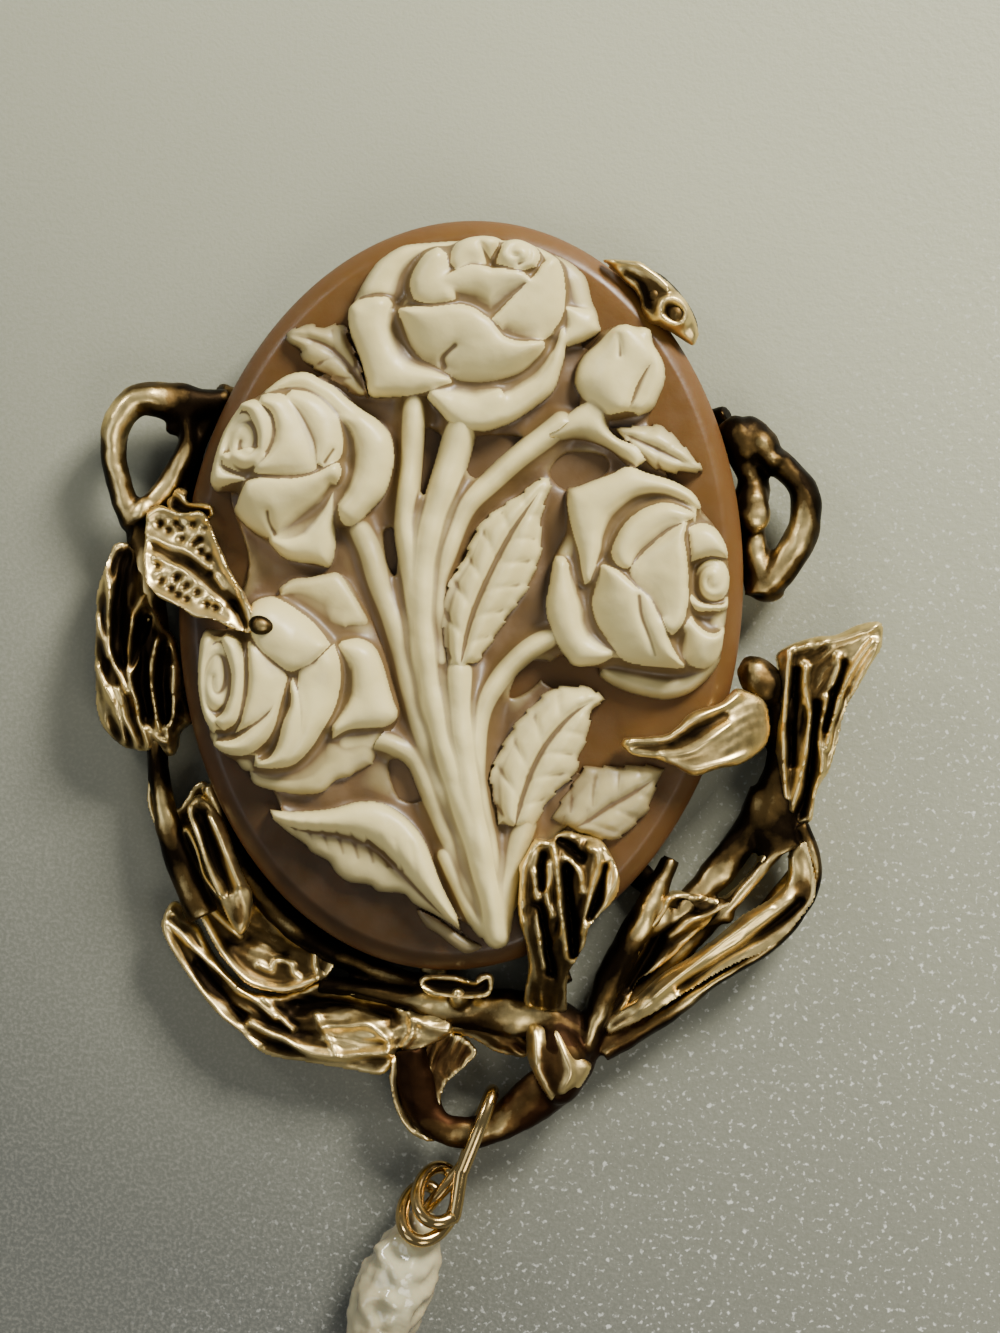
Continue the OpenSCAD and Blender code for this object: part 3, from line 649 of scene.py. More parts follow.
top_rose = [
    ([(3.3, 18.35), (4.3, 18), (5, 17.5), (5.4, 17), (5.7, 16), (6, 15.5)],
     [(3.9, 17.8), (4.25, 17), (4.35, 16), (4.4, 15.5)], 0.7, 1.1, 0.9, 0.5),
    ([(4.35, 15.6), (5.2, 15.5), (5.9, 15.4), (6.15, 14.9), (6.25, 14.4), (5.6, 13.9), (5, 13.6),
      (4.6, 13.4)],
     [(4.3, 15.2), (4.25, 14.6), (4.3, 14), (4.4, 13.6)], 1.0, 1.7, 1.3, 0.5),
    ([(-6.9, 14.8), (-6.6, 15.2), (-6.5, 15.9), (-6, 16.8), (-5.6, 17.3), (-4.5, 18.1), (-3, 18.4),
      (-1.5, 18.6)],
     [(-4.2, 14.6), (-4.1, 15.6), (-4, 16.4), (-3.6, 17.2), (-2.9, 17.9), (-1.9, 18)],
     0.9, 1.5, 1.1, 0.55),
    ([(-6.3, 15.1), (-7, 14.7), (-7.1, 14.2), (-6.9, 13.3), (-6.6, 12.7), (-6.2, 11.8), (-5.8, 10.8),
      (-5.6, 10.05), (-4.6, 10.05), (-3.4, 10.2), (-2.4, 10.5), (-1.3, 11)],
     [(-4.6, 15.3), (-4.5, 14.2), (-4.2, 13.1), (-3.5, 12.2), (-2.3, 11.75), (-1.5, 11.3)],
     1.3, 2.2, 1.7, 0.5),
    ([(-2.6, 10.1), (-1.8, 9.4), (-1.4, 9), (-0.6, 8.75), (0.5, 8.65), (1.5, 9), (2.2, 9.4), (3.2, 10.2),
      (4, 11), (4.3, 12), (4.5, 13.2), (4.35, 14.4)],
     [(-2.4, 10.6), (-1.2, 11.05), (0, 11.05), (1.3, 11.25), (2.4, 11.8), (3.2, 12.5), (3.8, 13.4),
      (4.1, 14.2)], 0.9, 1.9, 1.7, 0.6),
    ([(-2.5, 10.2), (-1.9, 9.5), (-1.4, 9.2), (-0.5, 8.85), (0.5, 8.7), (1.2, 9.1), (1.45, 9.9),
      (1.55, 10.4)],
     [(-2.2, 10.6), (-1.2, 10.95), (0, 10.95), (1.2, 11)], 1.3, 2.1, 1.95, 0.6),
    ([(-4.4, 14.6), (-3.6, 14.75), (-2.6, 14.8), (-1.6, 15), (-1, 15.05), (-0.3, 14.85), (0.5, 14.3),
      (1.2, 13.6), (2, 13.4), (3.3, 13.5)],
     [(-4.3, 14.1), (-4, 13.4), (-3.6, 12.7), (-3, 12.1), (-2.3, 11.8), (-1.5, 11.4), (-1, 11.15),
      (0, 11.1), (1.2, 11.35), (2.3, 11.85), (3.1, 12.65), (3.4, 13.2)], 1.7, 2.9, 2.8, 0.8),
    ([(0.5, 14.4), (1.4, 15.5), (2.1, 16.3), (2.6, 16.9), (3, 17.6), (3.6, 18)],
     [(1.3, 13.7), (2, 13.5), (3.3, 13.6), (3.8, 14.2), (4.2, 15), (4.25, 16), (4.1, 17), (3.9, 17.6)],
     2.0, 2.8, 2.95, 0.85),
    ([(-1.7, 16.7), (-0.8, 17.1), (0, 17.1), (1.3, 17), (2, 16.9), (2.4, 16.6)],
     [(-3.3, 15.1), (-2.6, 14.9), (-1.6, 15.1), (-0.9, 15.1), (-0.2, 14.9), (0.5, 14.4), (1.3, 15.4),
      (2.1, 16.3)], 1.9, 3.05, 3.1, 0.8),
    ([(-2.6, 18), (-3.2, 17.6), (-3.7, 16.8), (-3.9, 16.1), (-3.8, 15.5), (-3.5, 15.1), (-2.8, 14.95),
      (-2, 15.05)],
     [(-2.1, 17.6), (-1.8, 16.6), (-1.5, 16), (-1.4, 15.3)], 2.5, 3.0, 2.6, 0.5),
    ([(-1.9, 17.2), (-1.85, 17.8), (-1.6, 18.3), (-1, 18.7), (-0.2, 18.85), (0.6, 18.8)],
     [(-1.5, 16.7), (-0.8, 17.1), (0, 17.2), (0.3, 17.8), (0.5, 18.2)], 2.4, 3.0, 2.7, 0.5),
    ([(0.75, 18.4), (1.1, 18.7), (1.6, 18.8), (2.4, 18.5), (2.75, 17.9), (2.6, 17.3)],
     [(0.5, 17.3), (1.3, 17.1), (2, 17.05)], 2.6, 3.2, 2.9, 0.5),
]
top_rose_foot = [
    (-6.9, 14.8), (-6.5, 15.9), (-5.6, 17.2), (-4.5, 18), (-3, 18.3), (-1.5, 18.5), (0.2, 18.7),
    (1.7, 18.6), (3.3, 18.2), (5, 17.4), (5.7, 16), (6.1, 14.9), (5, 13.7), (4.4, 13.2), (4.2, 12),
    (3.1, 10.2), (1.5, 9), (0.5, 8.75), (-0.6, 8.85), (-1.8, 9.5), (-2.6, 10.2), (-4.6, 10.1),
    (-5.6, 10.1), (-6.2, 11.8), (-6.9, 13.3)
]
left_rose = [
    ([(-11.2, 9.9), (-10.9, 10.1), (-10.2, 10.7), (-9.5, 11), (-8.8, 11), (-8.2, 10.7), (-7.5, 10.4),
      (-6.7, 9.8), (-5.9, 9.3), (-5, 8.8), (-4.3, 8.1)],
     [(-10.9, 9.9), (-9.6, 10.1), (-8.6, 9.9), (-7.5, 9), (-6.7, 8.2), (-6.2, 7.4)], 1.5, 1.9, 1.6, 0.5),
    ([(-6.6, 8.8), (-5.9, 9.2), (-5, 8.7), (-4.3, 8), (-4.05, 7), (-4.1, 6), (-4.4, 4.9), (-5, 4.1),
      (-5.6, 3.4), (-6.2, 3.1), (-6.6, 3.4)],
     [(-7.2, 9.2), (-6.6, 8.3), (-6.35, 7.2), (-6.3, 6.2), (-6.5, 5.2), (-6.8, 4.3)], 1.3, 2.2, 1.6, 0.5),
    ([(-9.6, 10), (-8.8, 9.95), (-8, 9.6), (-7.2, 8.9), (-6.85, 8.1), (-6.7, 7.2), (-6.9, 6.5), (-7.6, 6)],
     [(-9.9, 9.6), (-9.2, 8.9), (-8.6, 8), (-8.2, 7.2), (-8, 6.2)], 2.1, 2.55, 1.9, 0.3),
    ([(-11.2, 9.6), (-10.4, 9.7), (-9.9, 9.6), (-9.2, 8.9), (-8.6, 8), (-8.2, 7.2), (-8, 6.3), (-8.1, 5.8),
      (-9, 5.5), (-10, 5.4), (-11, 5.4)],
     [(-11.2, 9.1), (-10.6, 8.7), (-10.35, 8.1), (-10.3, 7.4), (-10.5, 6.6), (-10.9, 6), (-11.3, 5.6)],
     2.4, 3.0, 2.3, 0.25),
    ([(-12.3, 9.1), (-11.6, 9.3), (-11, 8.9), (-10.5, 8.2), (-10.4, 7.3), (-10.7, 6.5)],
     [(-12.3, 8.7), (-11.8, 8.6), (-11.5, 8.1), (-11.3, 7.5), (-11.2, 6.9)], 2.5, 3.0, 2.4, 0.35),
    ([(-12.3, 9), (-12.7, 8.4), (-13.1, 7.6), (-13.4, 6.6), (-13.6, 5.4), (-13.6, 4.8), (-13.2, 4.6),
      (-12.3, 4.9), (-11.6, 5.1)],
     [(-12.2, 8.6), (-12.55, 8.1), (-12.8, 7.3), (-12.9, 6.6), (-13, 6), (-12.9, 5.5), (-12, 5.2)],
     1.9, 2.3, 1.7, 0.5),
    ([(-13, 6.3), (-12.2, 6.55), (-11.4, 6.75), (-10.8, 6.8)],
     [(-12.9, 5.8), (-12, 5.45), (-11, 5.55), (-10.6, 6.1)], 2.0, 2.8, 2.8, 0.8),
    ([(-11.6, 5), (-11, 5.2), (-10, 5.25), (-9, 5.35), (-8.2, 5.6), (-7.5, 6), (-6.9, 6.3), (-6.7, 5.8)],
     [(-12.3, 3.5), (-11.6, 2.8), (-11, 2.5), (-10.2, 2.2), (-9.5, 2.5), (-8.6, 3.2), (-7.6, 4.1),
      (-7, 5)], 1.2, 2.6, 2.7, 0.85),
    ([(-10.3, 1.9), (-9.5, 1.2), (-8.7, 1), (-7.8, 1), (-7, 0.9), (-6.75, 2), (-6.9, 3.5), (-7, 4.8)],
     [(-10, 2.2), (-9.4, 2.4), (-8.5, 3.1), (-7.6, 4), (-7.1, 4.9)], 0.8, 1.7, 1.0, 0.5),
]
left_rose_foot = [
    (-13.6, 5.4), (-13.4, 6.6), (-13, 7.7), (-12.6, 8.5), (-12.2, 9.1), (-11.5, 9.6), (-10.9, 10.1),
    (-10.2, 10.7), (-9.5, 11), (-8.8, 11), (-8.2, 10.7), (-7.5, 10.4), (-6.7, 9.8), (-5.9, 9.3), (-5, 8.8),
    (-4.3, 8.1), (-4.05, 7), (-4.1, 6), (-4.4, 4.9), (-5, 4.1), (-5.6, 3.4), (-6.4, 3), (-6.9, 3.2),
    (-7, 1.2), (-7.8, 0.95), (-8.7, 1), (-9.5, 1.2), (-10.2, 1.9), (-11.2, 2.4), (-12.3, 3.4),
    (-11.9, 4.2), (-12.6, 4.5), (-13.3, 4.4), (-13.6, 4.8)
]
low_rose = [
    ([(-6.4, -3.1), (-6, -4), (-5.9, -5.2), (-6.1, -6.5), (-6.6, -7.6), (-7.2, -8.7), (-8, -9.6),
      (-9, -9.9)],
     [(-7.3, -4.2), (-8.1, -4.7), (-8, -6), (-7.8, -7.2), (-7.9, -8.6), (-8.6, -9.6)], 2.3, 2.5, 1.8, 0.3),
    ([(-8.4, -5), (-7.95, -6), (-7.7, -7.2), (-7.75, -8.4), (-8.2, -9.3), (-9, -9.85), (-10.1, -9.85)],
     [(-8.5, -5.6), (-8.4, -6.4), (-8.75, -7.5), (-8.95, -8.6), (-9.3, -9.3), (-10, -9.7)],
     2.1, 2.75, 2.4, 0.35),
    ([(-8.7, -5.4), (-8.9, -6.6), (-9.15, -7.8), (-9.7, -8.7), (-10.6, -9.3), (-11.6, -9.3),
      (-12.4, -8.9)],
     [(-9, -5.9), (-9.5, -7), (-10.3, -7.8), (-11.2, -8.5), (-12.3, -8.75)], 2.0, 2.7, 2.1, 0.3),
    ([(-10.3, -3.7), (-9.4, -4.4), (-8.7, -4.9), (-8.8, -5.8), (-9.3, -6.7), (-10.1, -7.5), (-10.9, -8),
      (-11.2, -8.2)],
     [(-10.9, -3.3), (-10.75, -4.5), (-10.7, -6), (-10.9, -7.6)], 2.2, 2.85, 2.3, 0.2),
    ([(-12.1, -3), (-11.3, -3.4), (-10.95, -4.5), (-10.85, -6), (-11.1, -7.5), (-11.8, -8.1)],
     [(-12.3, -3.3), (-11.9, -4.2), (-11.6, -5.2), (-11.6, -6.2), (-11.9, -7.1), (-12.3, -7.6)],
     2.2, 2.7, 2.1, 0.4),
    ([(-13.2, -3), (-13.5, -3.6), (-13.5, -4.8), (-13.4, -6), (-13.1, -7.2), (-12.7, -8), (-12.3, -8.3)],
     [(-12.6, -3.3), (-12.9, -4.2), (-13, -5), (-12.95, -6.2), (-12.7, -7), (-12.2, -7.5)],
     1.8, 2.2, 1.6, 0.5),
    ([(-11, -2.5), (-10.3, -3.6), (-9.4, -4.3), (-8.6, -4.75), (-8.1, -4.6), (-7.3, -4.1), (-6.6, -3.2)],
     [(-10.9, -1.3), (-10, -0.9), (-9, -1.2), (-7.8, -1.9), (-7.1, -2.5), (-6.7, -3)], 1.6, 2.9, 2.6, 0.6),
    ([(-9.6, -0.4), (-8.9, 0.1), (-8, 0.3), (-7.2, 0.5), (-6.5, 0.6), (-5.7, -0.4), (-5.2, -1.1),
      (-4.8, -1.9), (-5.8, -2.1)],
     [(-9.4, -0.9), (-8.4, -1.2), (-7.5, -2), (-6.8, -2.5), (-6, -2.3)], 0.5, 1.2, 1.1, 0.8),
    ([(-6, -2.9), (-5.2, -2.7), (-4.4, -3), (-3.9, -3.7), (-3.5, -4.7), (-3.1, -5.8), (-2.8, -6.6),
      (-3.3, -7.2), (-4.2, -7.4), (-5.3, -7.6), (-6.1, -8.1)],
     [(-6.2, -3.2), (-5.85, -4.2), (-5.7, -5.2), (-5.8, -6.4), (-6.2, -7.4)], 0.9, 1.9, 1.3, 0.5),
    ([(-6.2, -8.2), (-5, -8.3), (-4.4, -8.7), (-3.9, -9.3), (-4.6, -9.3), (-5, -10), (-5.8, -10.3),
      (-6.5, -11), (-8, -11.2), (-10, -10.9), (-10.4, -10.2)],
     [(-6.6, -8.2), (-7.2, -9), (-8, -9.9), (-9.4, -10.2), (-10.2, -10.2)], 0.5, 1.0, 0.8, 0.6),
]
low_rose_foot = [
    (-13.3, -2.9), (-13.5, -3.6), (-13.5, -4.8), (-13.4, -6), (-13.1, -7.2), (-12.7, -8), (-12.6, -8.6),
    (-12, -9.3), (-11.2, -9.7), (-10.6, -10.2), (-9.2, -10), (-8, -9.7), (-7.2, -8.8), (-6.4, -8),
    (-6, -6.5), (-5.9, -5), (-6.2, -3.4), (-7, -2.5), (-8, -1.6), (-9, -0.9), (-10.3, -0.9), (-10.9, -1.3),
    (-11.3, -2.5), (-12.4, -2.8)
]
right_rose = [
    ([(6.45, 1), (6.2, 1.7), (6, 2.6), (5.7, 3.5), (5.4, 4.4), (5.2, 5.3), (5.3, 5.9), (5.8, 6.2),
      (6.6, 6.6), (7.5, 7), (8.2, 7.4), (9.5, 7.1), (10.5, 6.9), (11.3, 6.6), (11.9, 6.2), (12.3, 5.6)],
     [(6.75, 1.3), (7.1, 2.2), (7.3, 2.9), (7.35, 3.6), (7.65, 4.5), (8.3, 5.3), (9, 5.8), (10, 6),
      (11.3, 5.8), (12.1, 5.45)], 1.4, 2.1, 1.6, 0.45),
    ([(5.2, 2.4), (4.75, 2.3), (4.6, 1), (4.5, 0), (4.6, -0.8), (4.9, -1.5), (5.3, -2.3), (5.8, -2.9),
      (6.3, -3.3), (7.5, -3.1), (8.2, -2.7)],
     [(5.6, 1.9), (6.1, 0.8), (6.6, -0.1), (6.8, -1), (7.3, -1.7), (8.1, -2.3)], 1.2, 2.0, 1.4, 0.5),
    ([(12, 5.1), (11, 5.5), (10.2, 5.6), (9.2, 5.2), (8.4, 4.5), (7.9, 3.6), (7.7, 2.7), (8.1, 2.1),
      (8.6, 1.95)],
     [(11.5, 4.7), (10.6, 4.3), (9.9, 3.7), (9.2, 3), (8.8, 2.2)], 2.2, 2.7, 2.3, 0.55),
    ([(11.5, 4.6), (11.4, 3.8), (11.6, 2.9), (11.8, 1.8), (11.85, 0.5), (11.75, -0.4), (11.3, -1.2),
      (10.9, -1.1)],
     [(11.3, 4.6), (10.6, 4.15), (9.9, 3.5), (9.2, 2.7), (8.7, 1.9), (9.2, 1.1), (10, 0.4), (10.5, -0.3)],
     2.4, 3.1, 3.2, 0.8),
    ([(7.3, 2.15), (8.2, 1.8), (9.1, 1.1), (9.9, 0.5), (10.4, -0.3), (10.9, -1.2), (11.3, -2), (12, -2.9)],
     [(7.2, 2), (7, 1), (6.9, 0), (7.2, -0.9), (7.7, -1.6), (8.4, -2.4), (9, -2.85), (10.3, -3),
      (11.5, -3)], 1.7, 2.9, 2.9, 0.8),
    ([(11.6, 4.4), (12.4, 4.7), (13.2, 4.4), (13.75, 3.6), (13.85, 3)],
     [(11.9, 2.6), (12.3, 2.8), (12.9, 3), (13.5, 3)], 2.1, 2.5, 2.2, 0.5),
    ([(12.05, 1), (12.5, 0.6), (13.2, 0.45), (13.9, 0.6), (14.1, 1.2)],
     [(11.9, 0.6), (12.4, 0.1), (13.1, 0.15), (13.8, 0.25), (14.1, 0.5)], 1.8, 2.3, 2.2, 0.5),
    ([(12.1, -0.2), (12.7, -0.8), (13.4, -1.05), (14, -0.6)],
     [(11.5, -1.2), (11.6, -2), (12.1, -2.6), (12.9, -2.9), (13.6, -2.5), (14, -1.6)], 1.5, 2.4, 2.5, 0.8),
    ([(14, -2.2), (13.6, -3.1), (12.9, -3.9), (12.2, -4.4), (11.2, -4.7), (10, -4.6), (9, -4.4),
      (8.2, -4.1), (7.6, -3.7)],
     [(13.9, -2.3), (13, -2.9), (11.8, -3.3), (10.5, -3.35), (9, -3.2), (7.8, -3.3)], 0.5, 1.0, 0.7, 0.5),
]
right_rose_foot = [
    (5.1, 5.9), (5.8, 6.2), (6.6, 6.6), (7.5, 7), (8.2, 7.4), (9.5, 7.1), (10.5, 6.9), (11.3, 6.6),
    (11.9, 6.2), (12.3, 5.5), (12.9, 4.9), (13.4, 4.2), (13.75, 3.5), (14, 2.6), (14.1, 1.4), (14.1, 0),
    (14, -1), (13.9, -2.2), (13.6, -3), (12.5, -3.3), (10.5, -3.3), (8.4, -3.2), (7, -3.3), (6.3, -3.3),
    (5.8, -2.9), (5.3, -2.3), (4.9, -1.5), (4.6, -0.8), (4.5, 0), (4.6, 1), (4.75, 2.4), (5.3, 4)
]
rosebud = [
    ([(8.3, 14.85), (8.9, 14.7), (9.05, 14), (9.5, 13.4), (9.8, 12.8), (9.85, 12), (9.6, 11.2),
      (9.3, 10.5), (8.6, 10.1)],
     [(8.3, 14.3), (8.9, 13.6), (9, 13), (8.7, 12.3), (8.4, 11.4), (8.2, 10.4)], 1.3, 1.8, 1.3, 0.5),
    ([(7.2, 14.8), (7.8, 14.85), (8.3, 14.3), (8.9, 13.6), (9.05, 13), (8.7, 12.4), (8.3, 11.5),
      (8, 10.3)],
     [(6.6, 14.3), (6.1, 13.7), (5.5, 13.1), (5.15, 12.3), (5.1, 11.5), (5.6, 10.8), (6.3, 10.3), (7, 10)],
     1.1, 2.1, 1.9, 0.6),
    ([(3.6, 8.9), (4.4, 9.3), (4.9, 9.9), (5.4, 10.4), (6, 10.6), (6.6, 10.3), (6.9, 9.7), (7.2, 9.2),
      (7.8, 8.8), (8.6, 8.5), (9.2, 7.8)],
     [(3.9, 8.2), (4.6, 8.4), (5.4, 8.6), (6.3, 8.5), (7.2, 8.2), (7.9, 7.7), (8.5, 7.2)],
     0.5, 1.4, 1.2, 0.6),
]
rosebud_foot = [
    (6.4, 14.5), (7.3, 14.85), (8.2, 14.8), (8.9, 14.6), (9.1, 14), (9.5, 13.4), (9.8, 12.8), (9.85, 12),
    (9.6, 11.2), (9.3, 10.5), (8.5, 10.1), (7, 9.8), (6.2, 10.3), (5.5, 10.8), (5.1, 11.8), (5.2, 12.7),
    (5.9, 13.7)
]

# A leaf: midrib, left edge, right edge, height
leaves = [
    ([(7.2, 9.4), (9.2, 8.6), (12.4, 7.4)],
     [(7.2, 9.4), (8, 9.6), (8.8, 9.7), (9.8, 9.85), (10.4, 9.5), (11, 9), (11.6, 8.4), (12.1, 7.9),
      (12.4, 7.4)],
     [(7.2, 9.4), (7.8, 8.9), (8.6, 8.1), (9.5, 7.4), (10.4, 7.2), (11.4, 7.3), (12.4, 7.4)], 1.3),
    ([(-5.6, 10.1), (-7.2, 11.9), (-8.6, 12.7), (-10.5, 13)],
     [(-5.7, 10.2), (-5.9, 11), (-6.3, 12), (-6.8, 12.9), (-7.1, 13.7), (-7.6, 13.85), (-8.3, 13.6),
      (-9.2, 13.7), (-9.9, 13.4), (-10.5, 13)],
     [(-5.6, 10), (-6.2, 9.9), (-7, 10.3), (-8, 10.9), (-8.6, 11.2), (-9.3, 11.6), (-9.6, 12.2),
      (-10.1, 12.5), (-10.5, 13)], 1.0),
    ([(0.3, -3.8), (0.6, -1.5), (1.3, 0.8), (2.3, 3.2), (3.3, 5), (4.2, 6.5)],
     [(-0.4, -4), (-0.9, -2), (-1, -0.9), (-0.7, 0.7), (-0.1, 1.8), (0.2, 2.8), (0.7, 3.9), (1.3, 4.5),
      (1.9, 5), (2.8, 5.7), (3.5, 6.4), (4.2, 6.6)],
     [(1.2, -3.6), (1.9, -2.4), (2.7, -0.9), (3.4, 0.2), (3.8, 1.3), (4.1, 2.3), (4.1, 3.2), (4, 4.2),
      (4.1, 5), (4.4, 6.2)], 2.1),
    ([(3.8, -12), (4.1, -10.3), (4.6, -8.6), (5.3, -7.2), (6.4, -5.8), (7.6, -4.9)],
     [(2.9, -12), (2.2, -9.6), (2.4, -8.6), (2.9, -7.4), (3.5, -6.3), (4.2, -5.5), (4.9, -4.7),
      (5.6, -4.35), (6.5, -4.25), (7.3, -4.3), (8.2, -4.95)],
     [(4.9, -12), (5.5, -10.6), (6.2, -9.7), (6.9, -8.9), (7, -8), (7.3, -7.1), (7.4, -6.2), (7.5, -5.5),
      (8.2, -4.95)], 1.6),
    ([(6.6, -12), (7.6, -11.4), (8.6, -10.6), (9.8, -9.8), (11.2, -8.7)],
     [(5.6, -11.5), (6.1, -10.3), (6.9, -9), (7.2, -8.5), (8.2, -8.4), (9.2, -8.3), (10.3, -8.15),
      (11.5, -8.25)],
     [(7.4, -12.2), (8.3, -12.4), (9, -12.4), (9.7, -12), (10.3, -11.3), (10.8, -10.7), (11.1, -9.6),
      (11.3, -8.9), (11.5, -8.3)], 0.9),
]

# The fallen leaf: two petals that meet along its rib
fallen_leaf = [
    ([(-9.2, -12.1), (-8, -12.1), (-6, -11.8), (-4.5, -11.3), (-3.2, -11.3), (-2, -11.9), (-1, -12.9),
      (-0.4, -14), (0.2, -15.3), (1.1, -16.8)],
     [(-8.9, -12.6), (-7.5, -13), (-5.5, -13.1), (-4.2, -13.4), (-3, -14.1), (-2, -14.8), (-1, -15.7),
      (0.5, -17), (1.4, -17.7)], 1.0, 1.9, 1.5, 0.5),
    ([(-9.1, -12.5), (-8.2, -13.2), (-7.2, -13.8), (-6.8, -14.2), (-5.9, -14.6), (-5.5, -15.1),
      (-4.8, -15.6), (-3.6, -15.7), (-3.1, -16), (-1.8, -16), (-1.2, -16.5), (0, -17), (1, -17.5),
      (2, -18.2)],
     [(-8.9, -12.6), (-7.5, -13), (-5.5, -13.1), (-4.2, -13.4), (-3, -14.1), (-2, -14.8), (-1, -15.7),
      (0.5, -17), (1.4, -17.7)], 0.9, 1.0, 0.7, 0.5),
]

# A stem: its path, width, height
stems = [
    ([(-6.3, 4.2), (-5.5, 2.9), (-4.9, 1.8), (-4.3, 0.2), (-3.5, -1.5), (-2.8, -3.5), (-2, -6), (-0.8, -9),
      (0.3, -11.2), (1.6, -14), (2.6, -16.5), (3.1, -17.8)], 1.0, 1.2),
    ([(-3.3, 11), (-3.2, 8.8), (-3.2, 6), (-3.2, 3.5), (-2.8, 1.5), (-2.4, -0.5), (-2, -3), (-1.4, -5.5),
      (-0.3, -8.5), (1, -11.5), (2.3, -15), (3.1, -17.8)], 1.0, 1.5),
    ([(-0.4, 10), (-0.7, 8.6), (-1, 7), (-1.4, 5.2), (-1.8, 3.5), (-2, 1.5), (-1.9, -1), (-1.4, -4),
      (-0.6, -7), (0.5, -10), (1.8, -13.2), (2.8, -16), (3.3, -17.8)], 1.3, 1.8),
    ([(4.6, 9.4), (3.5, 8.4), (2.3, 7.3), (1.1, 6), (0, 4.7), (-0.6, 3), (-1, 1), (-1, -1), (-0.7, -3.5)],
     1.0, 1.5),
    ([(5.5, -1.6), (4.2, -2.3), (3.2, -3.2), (2.3, -4.4), (1.6, -6), (1.5, -8), (1.9, -10.5), (2.6, -13),
      (3.2, -16), (3.4, -17.8)], 0.9, 1.4),
    ([(0.2, -4), (0.4, -6), (0.9, -8.5), (1.5, -11), (2.5, -14.5), (3.2, -17.4)], 1.2, 1.9),
    ([(-5.4, -8.2), (-3.8, -8), (-2.6, -8.3), (-1.6, -9), (-0.7, -10.8), (0.4, -13), (1.5, -15.2),
      (2.7, -17.3)], 0.9, 1.1),
    ([(0.2, -13.8), (0.8, -15), (1.6, -16.4), (2.5, -17.6)], 0.7, 1.2),
    ([(4.3, -11.8), (3.9, -13.5), (3.6, -15.5), (3.5, -17.4)], 1.0, 1.3),
]

# The thin ground between the stems, and its windows down to the stone
ground_edge = [
    (-3, 17.2), (3, 17.2), (5.4, 13.6), (9, 12.4), (9.3, 9.2), (11.7, 4.8), (12.6, 1), (11.1, -2.8),
    (6.6, -2.4), (4.5, -4), (6.9, -5.6), (6.6, -8.8), (9.9, -9.2), (6, -12.4), (3.6, -17.6), (2.2, -17.6),
    (-2.1, -15.2), (-7.5, -13.2), (-9.3, -10.8), (-12, -7.2), (-12.3, -3.2), (-11.3, 0.7), (-12.6, 4.8),
    (-10.8, 9.2), (-7.8, 11.2), (-5.4, 12)
]
ground_windows = [
    [(-3, 8.4), (-1.6, 8.2), (-1.7, 6), (-2.5, 5.2)],
    [(0.2, 8.4), (2.6, 8.5), (1.6, 7.4), (0.3, 6.2), (-0.6, 7.4)],
    [(4.2, 6.8), (5, 7.9), (6.9, 7.9), (7.2, 7.1), (6, 6.3), (5, 6)],
    [(-4.3, 3), (-3.6, 3), (-3.5, 0.8), (-4, 1.4)],
    [(-3.1, -9.1), (-1.9, -9.2), (-0.9, -10.8), (-2.4, -11)],
    [(3.6, -3.4), (5, -3.2), (4.2, -4.6), (3, -5.2)],
]

# The bouquet's fields: the grid's box and pitch. Gaps of a few cells between petals are filled, and
# no hollow is deeper than this below the evened height of the carving round it.
BOUQUET_BOX = (-14.2, -19.4, 14.8, 19.4)
GRAIN = 0.06
GAP_CELLS = 4
HOLLOW_CELLS = 6
HOLLOW_DEEP = 0.42

# How high the ground between the stems is over the stone's face. From the floor: the relief's flat
# underside, its lowest and its highest carving.
GROUND = 0.34
RELIEF_FOOT = 4.34
RELIEF_LOW = 4.42
RELIEF_TOP = 7.74

# The short cuts across the fallen leaf: how many, how far apart, and where the first one is
CUTS = 9
CUT_PITCH = 0.8
FIRST_CUT = -8.0


def bouquet_field():
    """An empty field over the stone's face."""
    return Field(BOUQUET_BOX, GRAIN)


def carve_flower(petals, foot, height):
    """A flower of petals over a cushion, with the gaps between its petals filled."""
    field = bouquet_field()
    field.pillow(foot, height)
    field.petals(petals)
    field.depth = np.maximum(field.depth, closed_up(field.depth, GAP_CELLS))
    raised = np.maximum(field.top, 0)
    field.top = raised + 0.5 * (closed_up(raised, GAP_CELLS) - raised)
    hollow = blur(np.maximum(field.top, BASE), HOLLOW_CELLS) - HOLLOW_DEEP
    field.top = np.where(field.depth > 0, np.maximum(field.top, hollow), field.top)
    return field


def curl(field, across, along, wide, tall, height):
    """A furled heart: a low cushion with a spiral groove."""
    rim = np.linspace(0, 2 * math.pi, 16, endpoint=False)
    field.pillow([(across + wide * math.cos(t), along + tall * math.sin(t)) for t in rim], height,
                 roll=0.6, rise=height - 0.7)
    turns = np.linspace(3.0, 11.5, 24)
    field.groove([(across + wide * t / 12 * math.cos(t), along + tall * t / 12 * math.sin(t))
                  for t in turns], 0.15, 0.32)


